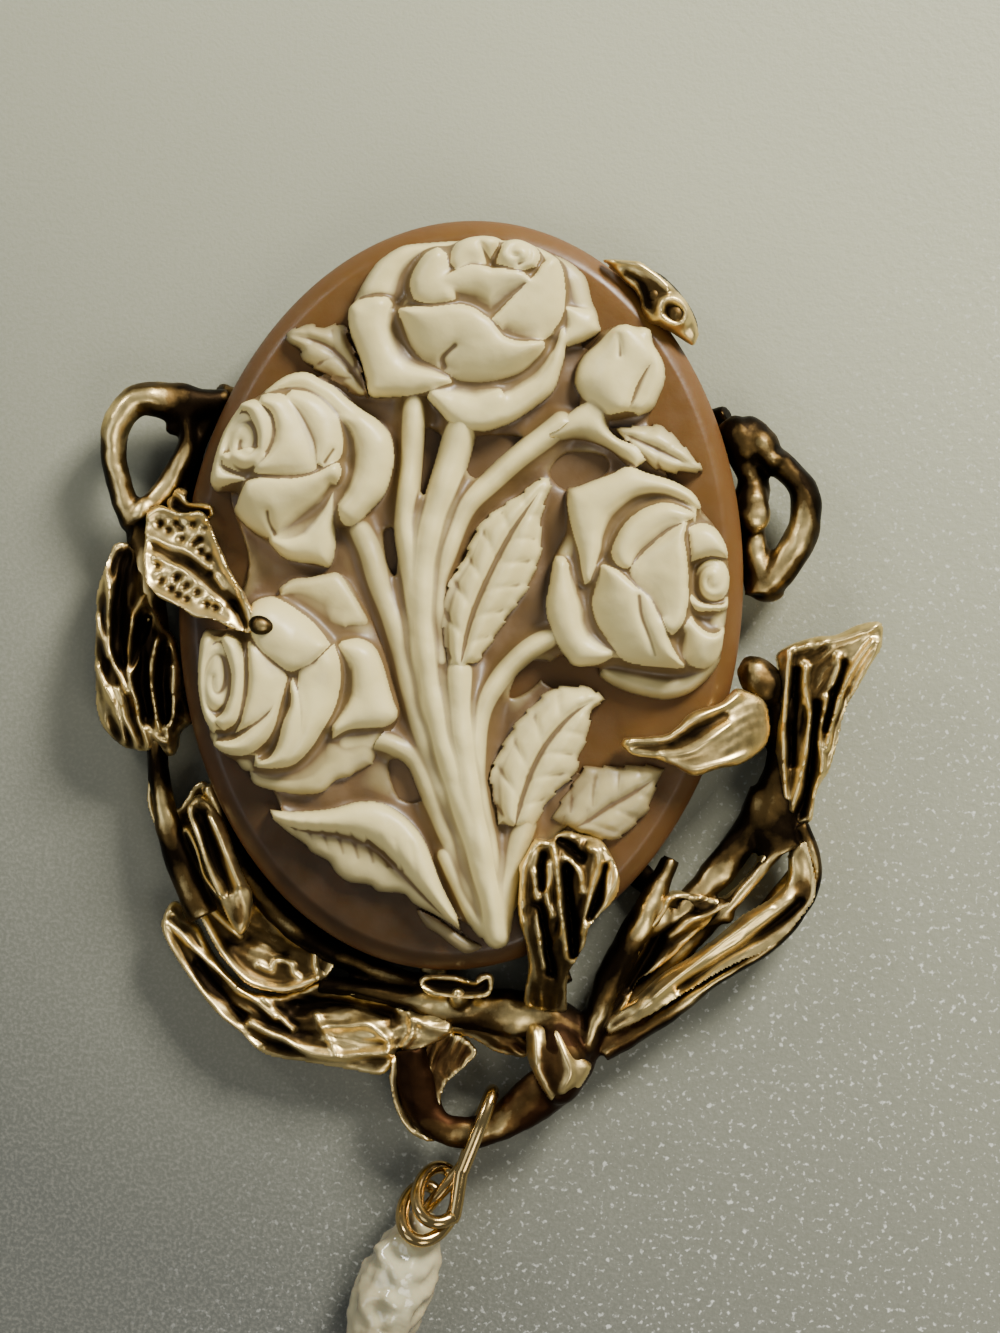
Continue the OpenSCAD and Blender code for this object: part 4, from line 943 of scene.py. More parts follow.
def carve_top_rose():
    """The largest rose, with its open heart at the top."""
    field = carve_flower(top_rose, top_rose_foot, 1.2)
    field.pillow([(-3.9, 16), (-3, 17.8), (-1.5, 18.6), (0.2, 18.8), (1.7, 18.7), (3.3, 18.2), (4.2, 17),
                  (4.2, 15), (3.3, 13.4), (-4.3, 14.2)], 1.9)
    field.pillow([(2.4, 18.6), (3.3, 18.3), (3.9, 17.7), (3.2, 17), (2.7, 16.9), (2.8, 17.8)], 2.6)
    field.groove([(-1.3, 12.9), (-1.7, 12.5), (-1.9, 12.2), (-1.8, 11.8)], 0.14, 0.3)
    field.groove([(1.7, 17.35), (2.15, 17.6), (2.2, 18.1), (1.75, 18.4), (1.3, 18.2), (1.25, 17.8),
                  (1.6, 17.75)], 0.12, 0.45)
    field.groove([(-0.4, 18.3), (0, 17.6), (0.3, 17.1)], 0.12, 0.5)
    field.groove([(0.8, 18.4), (0.5, 17.8)], 0.1, 0.5)
    field.groove([(-6.4, 15.1), (-5.4, 15.3), (-4.4, 15.0)], 0.15, 0.4)
    return field


def carve_left_rose():
    """The rose at the left, furled towards the edge."""
    field = carve_flower(left_rose, left_rose_foot, 1.3)
    curl(field, -11.8, 7.0, 1.15, 1.6, 2.35)
    field.groove([(-10.4, 3.5), (-10.3, 3), (-10, 2.4)], 0.14, 0.35)
    field.groove([(-7.2, 7), (-7.6, 6.3)], 0.12, 0.35)
    return field


def carve_low_rose():
    """The rose below it, over a wide low foot."""
    field = carve_flower(low_rose, low_rose_foot, 1.2)
    curl(field, -12.35, -5.4, 0.85, 1.9, 2.15)
    field.pillow([(-9.4, -0.4), (-8, 0.3), (-6.3, 0.6), (-5, -1), (-4, -2.8), (-3.3, -4.6), (-2.7, -6.6),
                  (-3.6, -8.2), (-4, -9.3), (-5.8, -10.3), (-8, -11), (-10.4, -10.2), (-10, -5)], 0.95,
                 roll=0.9)
    return field


def carve_right_rose():
    """The rose at the right, with a small tight heart."""
    field = carve_flower(right_rose, right_rose_foot, 1.2)
    curl(field, 13.1, 1.75, 0.95, 1.15, 2.2)
    field.groove([(9.3, 0.6), (9.5, -0.4), (10, -1.5), (10.4, -2.4)], 0.15, 0.35)
    return field


def carve_rosebud():
    """The rosebud and the cup under it."""
    field = carve_flower(rosebud, rosebud_foot, 1.2)
    field.groove([(7.15, 14.2), (7.3, 13.6), (7.35, 13.1)], 0.12, 0.3)
    return field


def carve_leaves():
    """The toothed leaves, and the fallen leaf with its short cuts along one side."""
    field = bouquet_field()
    for rib, left, right, height in leaves:
        field.leaf(rib, left, right, height)
    field.petals(fallen_leaf)
    field.groove([(-3.8, -13.4), (-3.1, -13.9), (-2.4, -14.5)], 0.14, 0.5)
    for k in range(CUTS):
        across = FIRST_CUT + CUT_PITCH * k
        field.groove([(across, -12.4 - 0.1 * k), (across + 0.5, -13.6 - 0.16 * k)], 0.1, 0.12)
    field.pillow([(-1, -16.8), (0, -17.1), (1.2, -17.8), (2, -18.2), (2.6, -18.5), (1.8, -18.9),
                  (1.1, -18.6), (0.2, -18), (-0.5, -17.6)], 0.5, roll=0.3, rise=0.1)
    return field


def carve_stems():
    """The stems on a thin ground that has windows down to the stone."""
    field = bouquet_field()
    depth = depth_in(curve(ground_edge, closed=True), field.x, field.y)
    for ring in ground_windows:
        depth = np.minimum(depth, -depth_in(curve(ring, 4, closed=True), field.x, field.y))
    field.lay((slice(None), slice(None)), GROUND + 0.1 * np.sin(field.x * 2 + field.y), depth)
    for path, width, height in stems:
        field.stem(path, width * 1.4, height)
    raised = np.where(field.depth > 0, field.top, GROUND)
    field.top = np.maximum(field.top, np.maximum(blur(raised, 3) - 0.05, closed_up(raised, 3) - 0.4))
    field.top = np.maximum(field.top, blur(raised, 8) - 0.12)
    return field


def crevices(highest):
    """How deep each place of the carving lies below what is round it."""
    near = 1.0 * (blur(highest, 7) - highest) + 0.9 * (blur(highest, 3) - highest)
    return near + 0.45 * (blur(highest, 18) - highest)


def carve_bouquet():
    """Turns the fields into pieces that share one map of crevices."""
    bouquet = {
        "stem_bundle": carve_stems(),
        "leaves": carve_leaves(),
        "rosebud": carve_rosebud(),
        "right_rose": carve_right_rose(),
        "low_rose": carve_low_rose(),
        "left_rose": carve_left_rose(),
        "top_rose": carve_top_rose(),
    }
    shape = bouquet["leaves"].top.shape
    highest = np.zeros(shape)
    covered = np.zeros(shape, bool)
    for name, field in bouquet.items():
        highest = np.maximum(highest, np.where(field.depth > 0, field.top, 0))
        if name != "stem_bundle":
            covered |= field.depth > 0.3
    bouquet["stem_bundle"].depth[covered] = NOWHERE
    crevice = crevices(highest)
    waves = blur(np.random.default_rng(7).standard_normal(shape), 9) * 0.9
    marks = blur(np.random.default_rng(8).standard_normal(shape), 3) * 0.1
    ivory = ivory_finish()
    for name, field in bouquet.items():
        top = np.where(field.depth > 0, field.top, highest)
        soft = 0.4 * blur(top, 1) + 0.6 * blur(top, 3)
        carved = np.where(field.depth > 0, soft + waves + marks, 0) + FACE_Z
        field.top = np.clip(carved, RELIEF_LOW, RELIEF_TOP)
        verts, faces, extra = sheet(field, [crevice], RELIEF_FOOT)
        piece = new_piece("ivory_" + name, verts, faces.tolist(), ivory)
        keep(piece, "crevice", extra[0])
        face_outwards(piece, fill=True)
        finish_piece(piece, "rose_relief", 60.0)


carve_bouquet()


# Cast vine

# What the tables' thicknesses and the ties' reaches are multiplied by
BARE = 0.65
TIE_REACH = 1.3

# The cells in which the twigs grow together, the pitch of a leaf's grid, how much wider than its
# table a ridge is worked, and the lowest that a bar comes
VOXEL = 0.155
LEAF_GRAIN = 0.085
RIDGE = 1.1
LOWEST = 0.01

# The oval rail behind the stone's edge: its half sizes, its height, and half its own width and depth
RAIL_HALF_W = 13.7
RAIL_HALF_H = 18.7
RAIL_UP = 0.6
RAIL_WIDE = 1.0
RAIL_DEEP = 0.58

# The hook's lower limb is level with the pearl's middle, and a little deeper than it is wide
HOOK_UP = 2.05
limb_up = HOOK_UP / FACE_Z
limb_deep = 1.15

# Twigs: across, along, up, wide, deep, as shares of the stone's half sizes, of the face's height
# and of the twig's thickness
left_ring = [
    [-0.89, 0.48, 0.42, 0.8, 1.0],
    [-0.98, 0.46, 0.52, 1.3, 1.3],
    [-1.07, 0.455, 0.60, 1.6, 1.4],
    [-1.20, 0.455, 0.66, 1.3, 1.6],
    [-1.275, 0.38, 0.62, 1.2, 1.6],
    [-1.265, 0.26, 0.55, 1.1, 1.5],
    [-1.19, 0.12, 0.50, 1.1, 1.3],
]
left_twig = [
    [-1.05, 0.44, 0.60, 0.6, 1.0],
    [-1.02, 0.38, 0.58, 0.7, 1.0],
    [-1.03, 0.31, 0.55, 0.9, 1.1],
    [-1.08, 0.23, 0.52, 1.0, 1.1],
    [-1.15, 0.15, 0.50, 1.0, 1.1],
]
left_bar = [
    [-0.92, 0.47, 0.34, 0.6, 1.2],
    [-0.98, 0.36, 0.34, 0.7, 1.4],
    [-1.03, 0.20, 0.36, 0.8, 1.4],
    [-1.08, 0.08, 0.42, 1.2, 1.5],
    [-1.19, 0.10, 0.48, 1.2, 1.3],
]
left_stem = [
    [-1.16, 0.12, 0.46, 1.4, 1.3],
    [-1.12, -0.06, 0.46, 1.5, 1.5],
    [-1.09, -0.25, 0.46, 1.5, 1.6],
    [-1.05, -0.44, 0.46, 1.0, 1.4],
    [-1.02, -0.58, 0.48, 0.9, 1.2],
    [-0.95, -0.74, 0.52, 1.2, 1.3],
    [-0.83, -0.91, 0.50, 1.3, 1.4],
]
left_edge = [
    [-0.85, -0.56, 0.50, 0.6, 1.3],
    [-0.77, -0.69, 0.46, 0.9, 1.5],
    [-0.63, -0.84, 0.42, 1.1, 1.6],
    [-0.44, -0.95, 0.38, 1.2, 1.6],
    [-0.22, -1.02, 0.32, 1.0, 1.3],
    [0.02, -1.08, 0.36, 1.2, 1.4],
]
bottom_bar = [
    [-0.40, -1.07, 0.40, 0.8, 1.2],
    [-0.20, -1.08, 0.44, 0.9, 1.3],
    [0.06, -1.10, 0.46, 1.6, 1.7],
    [0.28, -1.11, 0.46, 2.0, 1.9],
    [0.45, -1.11, 0.48, 1.7, 2.0],
    [0.58, -1.17, 0.48, 1.3, 1.8],
]
twig_a = [
    [0.57, -1.19, 0.52, 1.0, 1.8],
    [0.61, -1.06, 0.56, 1.2, 1.8],
    [0.67, -0.93, 0.60, 1.3, 1.8],
    [0.75, -0.80, 0.60, 1.2, 1.7],
    [0.82, -0.66, 0.52, 0.7, 1.2],
]
twig_b = [
    [1.14, -0.46, 0.46, 1.3, 1.5],
    [1.08, -0.58, 0.46, 1.3, 1.5],
    [0.98, -0.70, 0.46, 1.4, 1.5],
    [0.86, -0.80, 0.50, 1.1, 1.5],
    [0.75, -0.85, 0.54, 1.0, 1.5],
]
twig_bright = [
    [1.19, -0.62, 0.60, 0.6, 1.0],
    [1.10, -0.71, 0.68, 0.5, 0.8],
    [1.02, -0.79, 0.66, 0.6, 0.9],
    [0.93, -0.86, 0.46, 1.0, 1.0],
    [0.80, -0.98, 0.40, 1.0, 1.0],
    [0.66, -1.12, 0.40, 1.2, 1.2],
]
twig_c = [
    [1.31, -0.64, 0.40, 0.8, 1.0],
    [1.25, -0.71, 0.40, 0.9, 1.0],
    [1.16, -0.81, 0.42, 1.0, 1.0],
    [1.02, -0.91, 0.42, 1.1, 1.0],
    [0.88, -0.99, 0.42, 1.1, 1.0],
    [0.75, -1.08, 0.42, 1.2, 1.1],
    [0.61, -1.18, 0.44, 1.2, 1.3],
]
twig_outer = [
    [1.27, -0.54, 0.50, 0.7, 1.2],
    [1.34, -0.66, 0.52, 0.6, 1.2],
    [1.30, -0.77, 0.52, 0.6, 1.2],
    [1.18, -0.88, 0.50, 0.6, 1.2],
    [1.00, -0.98, 0.48, 0.6, 1.2],
    [0.82, -1.09, 0.46, 0.9, 1.2],
    [0.63, -1.19, 0.46, 0.9, 1.3],
]
right_stem = [
    [1.22, -0.62, 0.50, 1.8, 1.6],
    [1.17, -0.54, 0.50, 2.2, 1.6],
    [1.18, -0.38, 0.50, 1.2, 1.4],
    [1.16, -0.24, 0.55, 1.0, 1.4],
    [1.08, -0.16, 0.60, 1.2, 1.6],
]
right_foot = [
    [1.15, -0.30, 0.46, 1.0, 1.4],
    [1.04, -0.32, 0.36, 1.0, 1.4],
    [0.92, -0.36, 0.12, 1.2, 0.8],
]
right_bar = [
    [0.90, 0.52, 0.50, 1.0, 1.3],
    [0.95, 0.46, 0.56, 1.5, 1.6],
    [1.00, 0.38, 0.50, 1.2, 1.6],
    [1.01, 0.33, 0.46, 1.5, 1.6],
    [1.02, 0.24, 0.44, 1.1, 1.5],
    [1.05, 0.14, 0.46, 1.3, 1.6],
    [1.07, 0.07, 0.46, 1.3, 1.5],
]
right_ring = [
    [0.95, 0.48, 0.56, 1.3, 1.5],
    [1.07, 0.43, 0.60, 1.1, 1.4],
    [1.18, 0.36, 0.58, 1.2, 1.5],
    [1.20, 0.26, 0.56, 1.4, 1.6],
    [1.14, 0.15, 0.52, 1.5, 1.6],
    [1.06, 0.08, 0.46, 1.3, 1.4],
]
top_twig = [
    [0.45, 0.905, 0.40, 0.5, 1.2],
    [0.55, 0.89, 0.56, 0.8, 2.6],
    [0.64, 0.85, 0.60, 0.9, 3.4],
    [0.71, 0.79, 0.64, 0.9, 2.8],
    [0.75, 0.73, 0.60, 0.6, 1.2],
]
hook_limb = [
    [-0.06, -1.22, 0.42, 1.6, 1.6],
    [-0.02, -1.34, 0.42, 1.7, 1.5],
    [0.06, -1.42, limb_up, 1.3, limb_deep],
    [0.18, -1.435, limb_up, 1.3, limb_deep],
    [0.29, -1.40, limb_up, 1.5, limb_deep],
    [0.40, -1.33, limb_up, 2.0, 1.4],
    [0.50, -1.26, 0.48, 2.0, 1.7],
    [0.56, -1.17, 0.48, 1.5, 1.8],
]
bud = [
    [0.43, -1.12, 0.62, 0.8, 1.0],
    [0.47, -1.18, 0.72, 2.0, 1.7],
    [0.49, -1.24, 0.72, 2.2, 1.8],
    [0.49, -1.30, 0.66, 1.5, 1.4],
    [0.47, -1.33, 0.60, 0.4, 0.6],
]
twigs = [left_ring, left_twig, left_bar, left_stem, left_edge, bottom_bar, twig_a, twig_b, twig_bright,
         twig_c, twig_outer, right_stem, right_foot, right_bar, right_ring, top_twig, hook_limb, bud]

# Knuckles and ball ends: across, along, up, then the same of the other end, thick
knobs = [
    [-0.70, -0.12, 1.78, -0.66, -0.125, 1.80, 0.85],
    [-1.19, 0.14, 0.56, -1.15, 0.17, 0.60, 1.10],
    [-1.00, 0.42, 0.46, -1.07, 0.39, 0.52, 1.00],
    [0.97, 0.50, 0.60, 1.04, 0.445, 0.66, 1.6],
    [0.93, 0.51, 0.66, 0.97, 0.44, 0.74, 1.2],
    [1.01, 0.34, 0.62, 1.02, 0.26, 0.66, 1.4],
    [1.05, 0.43, 0.76, 1.09, 0.42, 0.72, 0.80],
    [1.04, 0.10, 0.44, 1.11, 0.08, 0.46, 1.20],
    [0.59, 0.84, 1.04, 0.60, 0.82, 1.10, 0.75],
    [0.66, 0.79, 1.02, 0.68, 0.77, 1.06, 1.05],
    [1.06, -0.14, 0.70, 1.11, -0.19, 0.74, 1.70],
    [1.19, -0.21, 0.70, 1.20, -0.26, 0.66, 0.80],
    [1.01, -0.77, 0.66, 1.03, -0.80, 0.66, 0.85],
    [0.79, -0.78, 0.66, 0.81, -0.82, 0.66, 0.95],
    [0.57, -1.17, 0.56, 0.57, -1.21, 0.56, 1.10],
    [0.10, -1.06, 0.82, 0.12, -1.10, 0.50, 0.90],
]

# Ties: turn round the oval, reach beyond the stone, thick
ties = [
    [55, 0.9, 0.9],
    [32, 0.7, 1.0],
    [10, 0.8, 1.0],
    [151, 0.7, 1.0],
    [172, 0.9, 1.1],
    [196, 1.2, 1.2],
    [223, 0.9, 1.1],
    [246, 0.9, 1.1],
    [270, 1.4, 1.3],
    [293, 1.9, 1.5],
    [315, 0.9, 1.2],
    [340, 1.6, 1.0],
]
# Painted highlights on the twigs, painted shade where the strength is below zero: across, along, reach,
# strength
twig_gleams = [(-16, 7, 4.5, 0.3), (17.6, 4.4, 2.4, 0.7), (15.6, 8.9, 1.7, 0.9), (0.5, -27.5, 4, -0.45),
               (18.4, -10, 2.6, -0.35), (-5, -21.4, 6, -0.3), (-16, -13, 3, 0.35), (16.5, -13.6, 1.6, 0.4)]


def place_up(up):
    """Height of a share: 1 is the stone's face, and beyond it a share of the carving's height."""
    return up * FACE_Z if up < 1 else FACE_Z + (up - 1) * CARVING


def place(row):
    """A table row as a point."""
    return (row[0] * HALF_W, row[1] * HALF_H, place_up(row[2]))


def unit(vector):
    """The vector at length 1."""
    return vector / max(np.linalg.norm(vector), 1e-9)


def swelling(point, lumps):
    """How far a lumpy bar is swollen at a point."""
    return 1 + lumps * noise.noise(Vector(point * 1.1)) + 0.25 * lumps * noise.noise(Vector(point * 2.6))


def bar(path, wide, deep, sides, lumps=0.0, level=True):
    """A closed round bar along a path; a level bar keeps its side flat to the floor."""
    path = np.asarray(path, float)
    rings = []
    normal = np.array([0, 0, 1.0])
    for k, point in enumerate(path):
        ahead = unit(path[min(k + 1, len(path) - 1)] - path[max(k - 1, 0)])
        if level:
            side = unit(np.cross(ahead, [0, 0, 1]))
            normal = np.cross(side, ahead)
        else:
            normal = unit(normal - ahead * (normal @ ahead))
            side = np.cross(ahead, normal)
        for turn in np.linspace(0, 2 * math.pi, sides, endpoint=False):
            out = side * math.cos(turn) * wide[k] + normal * math.sin(turn) * deep[k]
            rings.append(point + out * swelling(point + out, lumps))
    verts = np.array(rings)
    verts[:, 2] = np.maximum(verts[:, 2], LOWEST)
    faces = [[k * sides + s, k * sides + (s + 1) % sides, (k + 1) * sides + (s + 1) % sides,
              (k + 1) * sides + s] for k in range(len(path) - 1) for s in range(sides)]
    faces.append(list(range(sides))[::-1])
    faces.append([(len(path) - 1) * sides + s for s in range(sides)])
    return verts, faces


def gather(shapes):
    """Several shapes as one list of vertices and faces."""
    verts = []
    faces = []
    for some, rims in shapes:
        first = sum(len(v) for v in verts)
        verts.append(some)
        faces += [[first + v for v in face] for face in rims]
    return np.concatenate(verts), faces


def wear(piece, turns=12):
    """Keeps how far each vertex stands out from its evened neighbourhood, in millimetres."""
    mesh = piece.data
    count = len(mesh.vertices)
    places, normals = corners(mesh)
    ends = np.empty(len(mesh.edges) * 2, int)
    mesh.edges.foreach_get("vertices", ends)
    first, second = ends.reshape(-1, 2).T
    degree = np.bincount(first, minlength=count) + np.bincount(second, minlength=count)
    even = places.copy()
    for turn in range(turns):
        even = np.stack([(np.bincount(first, even[second, axis], count)
                          + np.bincount(second, even[first, axis], count)) / np.maximum(degree, 1)
                         for axis in range(3)], axis=1)
    keep(piece, "wear_and_sheen", ((places - even) * normals).sum(axis=1) / MM)


gold = gold_finish()

# A cast leaf: how far its outline wavers, how much of the grid is left round it, and how far its
# edge is rounded
WAVER = 0.05
LEAF_MARGIN = 0.4
LEAF_ROLL = 0.22

# Painted highlight along a ridge and darkening in a groove, partly patina, partly painted shade; how deep
# a pit is, how far its lip stands up, and how dark it is; the painted shade on a leaf's back
LINE_SHEEN_AND_SHADE = 0.5
PIT_DEEP = 0.34
PIT_LIP = 0.14
PIT_DARK = 0.3
BACK_PAINTED_SHADE = -0.3


def leaf_field(outline, spine, crown, seed):
    """A leaf's domed field, its level without the dome, and each point's place along its spine."""
    ring = curve(outline, 4, closed=True)
    ring = ring + WAVER * np.stack([np.sin(np.arange(len(ring)) * 0.45 + seed),
                                    np.cos(np.arange(len(ring)) * 0.6)], axis=1)
    low = ring.min(axis=0) - LEAF_MARGIN
    high = ring.max(axis=0) + LEAF_MARGIN
    field = Field((low[0], low[1], high[0], high[1]), LEAF_GRAIN)
    back = curve([place(row) for row in spine])
    reach, side = nearest(back, field.x, field.y)[1:]
    gone = np.concatenate([[0], np.cumsum(np.linalg.norm(np.diff(back[:, :2], axis=0), axis=1))])
    field.depth = depth_in(ring, field.x, field.y)
    level = blur(np.interp(reach, gone, back[:, 2]), 4)
    level = level + crown * dome(field.depth, max(field.depth.max(), 0.3))
    field.top = level - dropped(field.depth, LEAF_ROLL)
    return field, level, reach, side


def fine_lines(field, reach, side, lines, seed):
    """Fine wavering lines along a leaf, and small dents between them."""
    chance = np.random.default_rng(seed)
    for turn in range(5):
        pitch = chance.uniform(2.2, 7.5)
        bend = 1.4 * np.sin(reach * chance.uniform(0.4, 1.3) + chance.uniform(0, 6))
        field.top += lines * (0.6 - np.abs(np.sin(side * pitch + bend + chance.uniform(0, 6)))) * 0.7
    field.top += blur(chance.standard_normal(field.top.shape), 3) * lines * 1.2


def engrave(field, painted_light_level, gleams, ridges, grooves, pits):
    """Works a leaf's ridges, grooves and pits, and returns the painted highlight and shade of each place.
    """
    painted_light_map = np.full(field.x.shape, painted_light_level)
    for across, along, reach, strength in gleams:
        painted_light_map += strength * np.exp(-around(field.x, field.y, across, along) / reach ** 2)
    for path, width, height in ridges:
        field.ridge(path, RIDGE * width, height)
        away = nearest(curve(path), field.x, field.y)[0]
        painted_light_map += LINE_SHEEN_AND_SHADE * np.exp(-(away / (1.6 * RIDGE * width)) ** 2)
    for path, width, depth in grooves:
        field.groove(path, width, depth)
        away = nearest(curve(path), field.x, field.y)[0]
        painted_light_map -= LINE_SHEEN_AND_SHADE * np.exp(-(away / (1.7 * width)) ** 2)
    for across, along in pits:
        pit = around(field.x, field.y, across, along)
        lip = around(field.x, field.y, across - 0.1, along + 0.32)
        field.top -= PIT_DEEP * np.exp(-pit / 0.045)
        field.top += PIT_LIP * np.exp(-lip / 0.03)
        painted_light_map -= PIT_DARK * np.exp(-pit / 0.04)
    return painted_light_map


def cast_leaf(name, outline, spine, thick, crown, lines, seed, painted_light_level, ridges=(), grooves=(), pits=(),
              gleams=()):
    """A leaf of the casting, with a back that follows its front."""
    field, level, reach, side = leaf_field(outline, spine, crown, seed)
    fine_lines(field, reach, side, lines, seed)
    painted_light_map = engrave(field, painted_light_level, gleams, ridges, grooves, pits)
    field.top = np.clip(blur(field.top, 1) * 0.6 + field.top * 0.4, 0.3, 7.7)
    under = np.maximum(np.minimum(level - thick, field.top - 0.2), 0.02)
    verts, faces, extra = sheet(field, [field.depth > 0, under, painted_light_map], (field.top + under) / 2)
    inner, under, painted_light_map = extra
    lower = np.where(inner, len(verts) + np.cumsum(inner) - 1, np.arange(len(verts)))
    below = verts[inner].copy()
    below[:, 2] = under[inner]
    joined = np.concatenate([faces, lower[faces][:, ::-1]])
    piece = new_piece(name, np.concatenate([verts, below]), joined.tolist(), gold)
    # Painted highlights and painted shade kept with each vertex; the back gets painted shade
    keep(piece, "painted_light_map", np.concatenate([painted_light_map, np.full(len(below), BACK_PAINTED_SHADE)]))
    wear(piece)
    finish_piece(piece, "vine_frame", 70.0)


# The twigs: how far broad and fine noise moves their skin, their painted highlight level, how much it
# wanders, and how much painted light brightens them where they face up
SKIN_BROAD = 0.08
SKIN_FINE = 0.01
TWIG_PAINTED_LIGHT = -0.62
PAINTED_LIGHT_WANDERS = 1.1
UPWARD_PAINTED_LIGHT = 0.55


def knob(row):
    """A rounded knuckle between two points."""
    ends = curve([place(row[:3]), place(row[3:6])], 4)
    axis = unit(ends[-1] - ends[0])
    half = row[6] * BARE
    reach = np.linalg.norm(ends[-1] - ends[0]) / 2 + half * 0.8
    steps = np.linspace(-1, 1, 9)
    sizes = np.sqrt(np.maximum(1 - steps ** 2, 0.02)) * half
    middle = (ends[0] + ends[-1]) / 2
    return bar([middle + axis * reach * s for s in steps], sizes, sizes, sides=14, lumps=0.2)


def rail():
    """The oval rail behind the stone's edge; its ends overlap."""
    path = [(RAIL_HALF_W * math.cos(t), RAIL_HALF_H * math.sin(t), RAIL_UP)
            for t in np.radians(np.arange(0, 360, 3))]
    path += path[:2]
    return bar(path, [RAIL_WIDE] * len(path), [RAIL_DEEP] * len(path), sides=10, lumps=0.05)


def tie(turn, reach, thick):
    """A short bar from the rail to a twig."""
    angle = math.radians(turn)
    edge = np.array([math.cos(angle) * HALF_W, math.sin(angle) * HALF_H, RAIL_UP])
    out = unit(np.array([math.cos(angle) * HALF_H, math.sin(angle) * HALF_W, 0]))
    path = [edge - out * 1.3, edge, edge + out * reach * TIE_REACH + (0, 0, 0.5)]
    wide = [thick * BARE, thick * BARE * 0.95, thick * BARE * 0.8]
    return bar(path, wide, [RAIL_DEEP, 0.6, 0.6], sides=10, lumps=0.25)


def grow_together(piece):
    """Makes one skin round crossing bars, and softens it."""
    pick(piece)
    bpy.ops.object.modifier_add(type="REMESH")
    piece.modifiers["Remesh"].mode = "VOXEL"
    piece.modifiers["Remesh"].voxel_size = VOXEL * MM
    bpy.ops.object.modifier_apply(modifier="Remesh")
    bpy.ops.object.modifier_add(type="SMOOTH")
    piece.modifiers["Smooth"].factor = 0.6
    piece.modifiers["Smooth"].iterations = 2
    bpy.ops.object.modifier_apply(modifier="Smooth")


def roughen(piece):
    """Moves each vertex in or out a little, as a casting's skin."""
    places, normals = corners(piece.data)
    out = np.array([noise.noise(Vector(p) * 330) * SKIN_BROAD + noise.noise(Vector(p) * 1300) * SKIN_FINE
                    for p in places]) * MM
    places += normals * out[:, None]
    places[:, 2] = np.maximum(places[:, 2], 0)
    piece.data.vertices.foreach_set("co", places.ravel())
    piece.data.update()
    return places, normals


def cast_twigs():
    """Every twig, knob and tie and the rail, grown together into one casting."""
    shapes = []
    for rows in twigs:
        path = curve(rows, 6)
        shapes.append(bar([place(row) for row in path], path[:, 3] * BARE, path[:, 4] * BARE,
                          sides=14, lumps=0.15))
    shapes += [knob(row) for row in knobs]
    shapes.append(rail())
    shapes += [tie(turn, reach, thick) for turn, reach, thick in ties]
    verts, faces = gather(shapes)
    piece = new_piece("vine_twigs", verts, faces, gold)
    grow_together(piece)
    places, normals = roughen(piece)
    # Painted highlights and shade at the given places, wandering painted light, and more where the skin
    # faces up
    painted_light_level = np.zeros(len(places))
    for across, along, reach, strength in twig_gleams:
        away = around(places[:, 0] / MM, places[:, 1] / MM, across, along)
        painted_light_level += strength * np.exp(-away / reach ** 2)
    upward = np.clip((normals[:, 2] - 0.7) / 0.3, 0, 1)
    cloud = np.array([noise.noise(Vector(p) * 300) for p in places])
    keep(piece, "painted_light_map", cloud * PAINTED_LIGHT_WANDERS + TWIG_PAINTED_LIGHT + painted_light_level + UPWARD_PAINTED_LIGHT * upward)
    wear(piece, turns=10)
    finish_piece(piece, "vine_frame", 70.0)


cast_twigs()

# Leaves and pods of the casting. A spine gives the height in shares, as the twigs do; the rest is in
# millimetres. Thick is from front to back, crown how far the face is domed, lines how strong its
# fine lines are, and the light level how much painted highlight is laid over it, painted shade below
# zero. A ridge or a groove: its path, width, and height or depth. A gleam, a painted highlight: across,
# along, reach, strength.

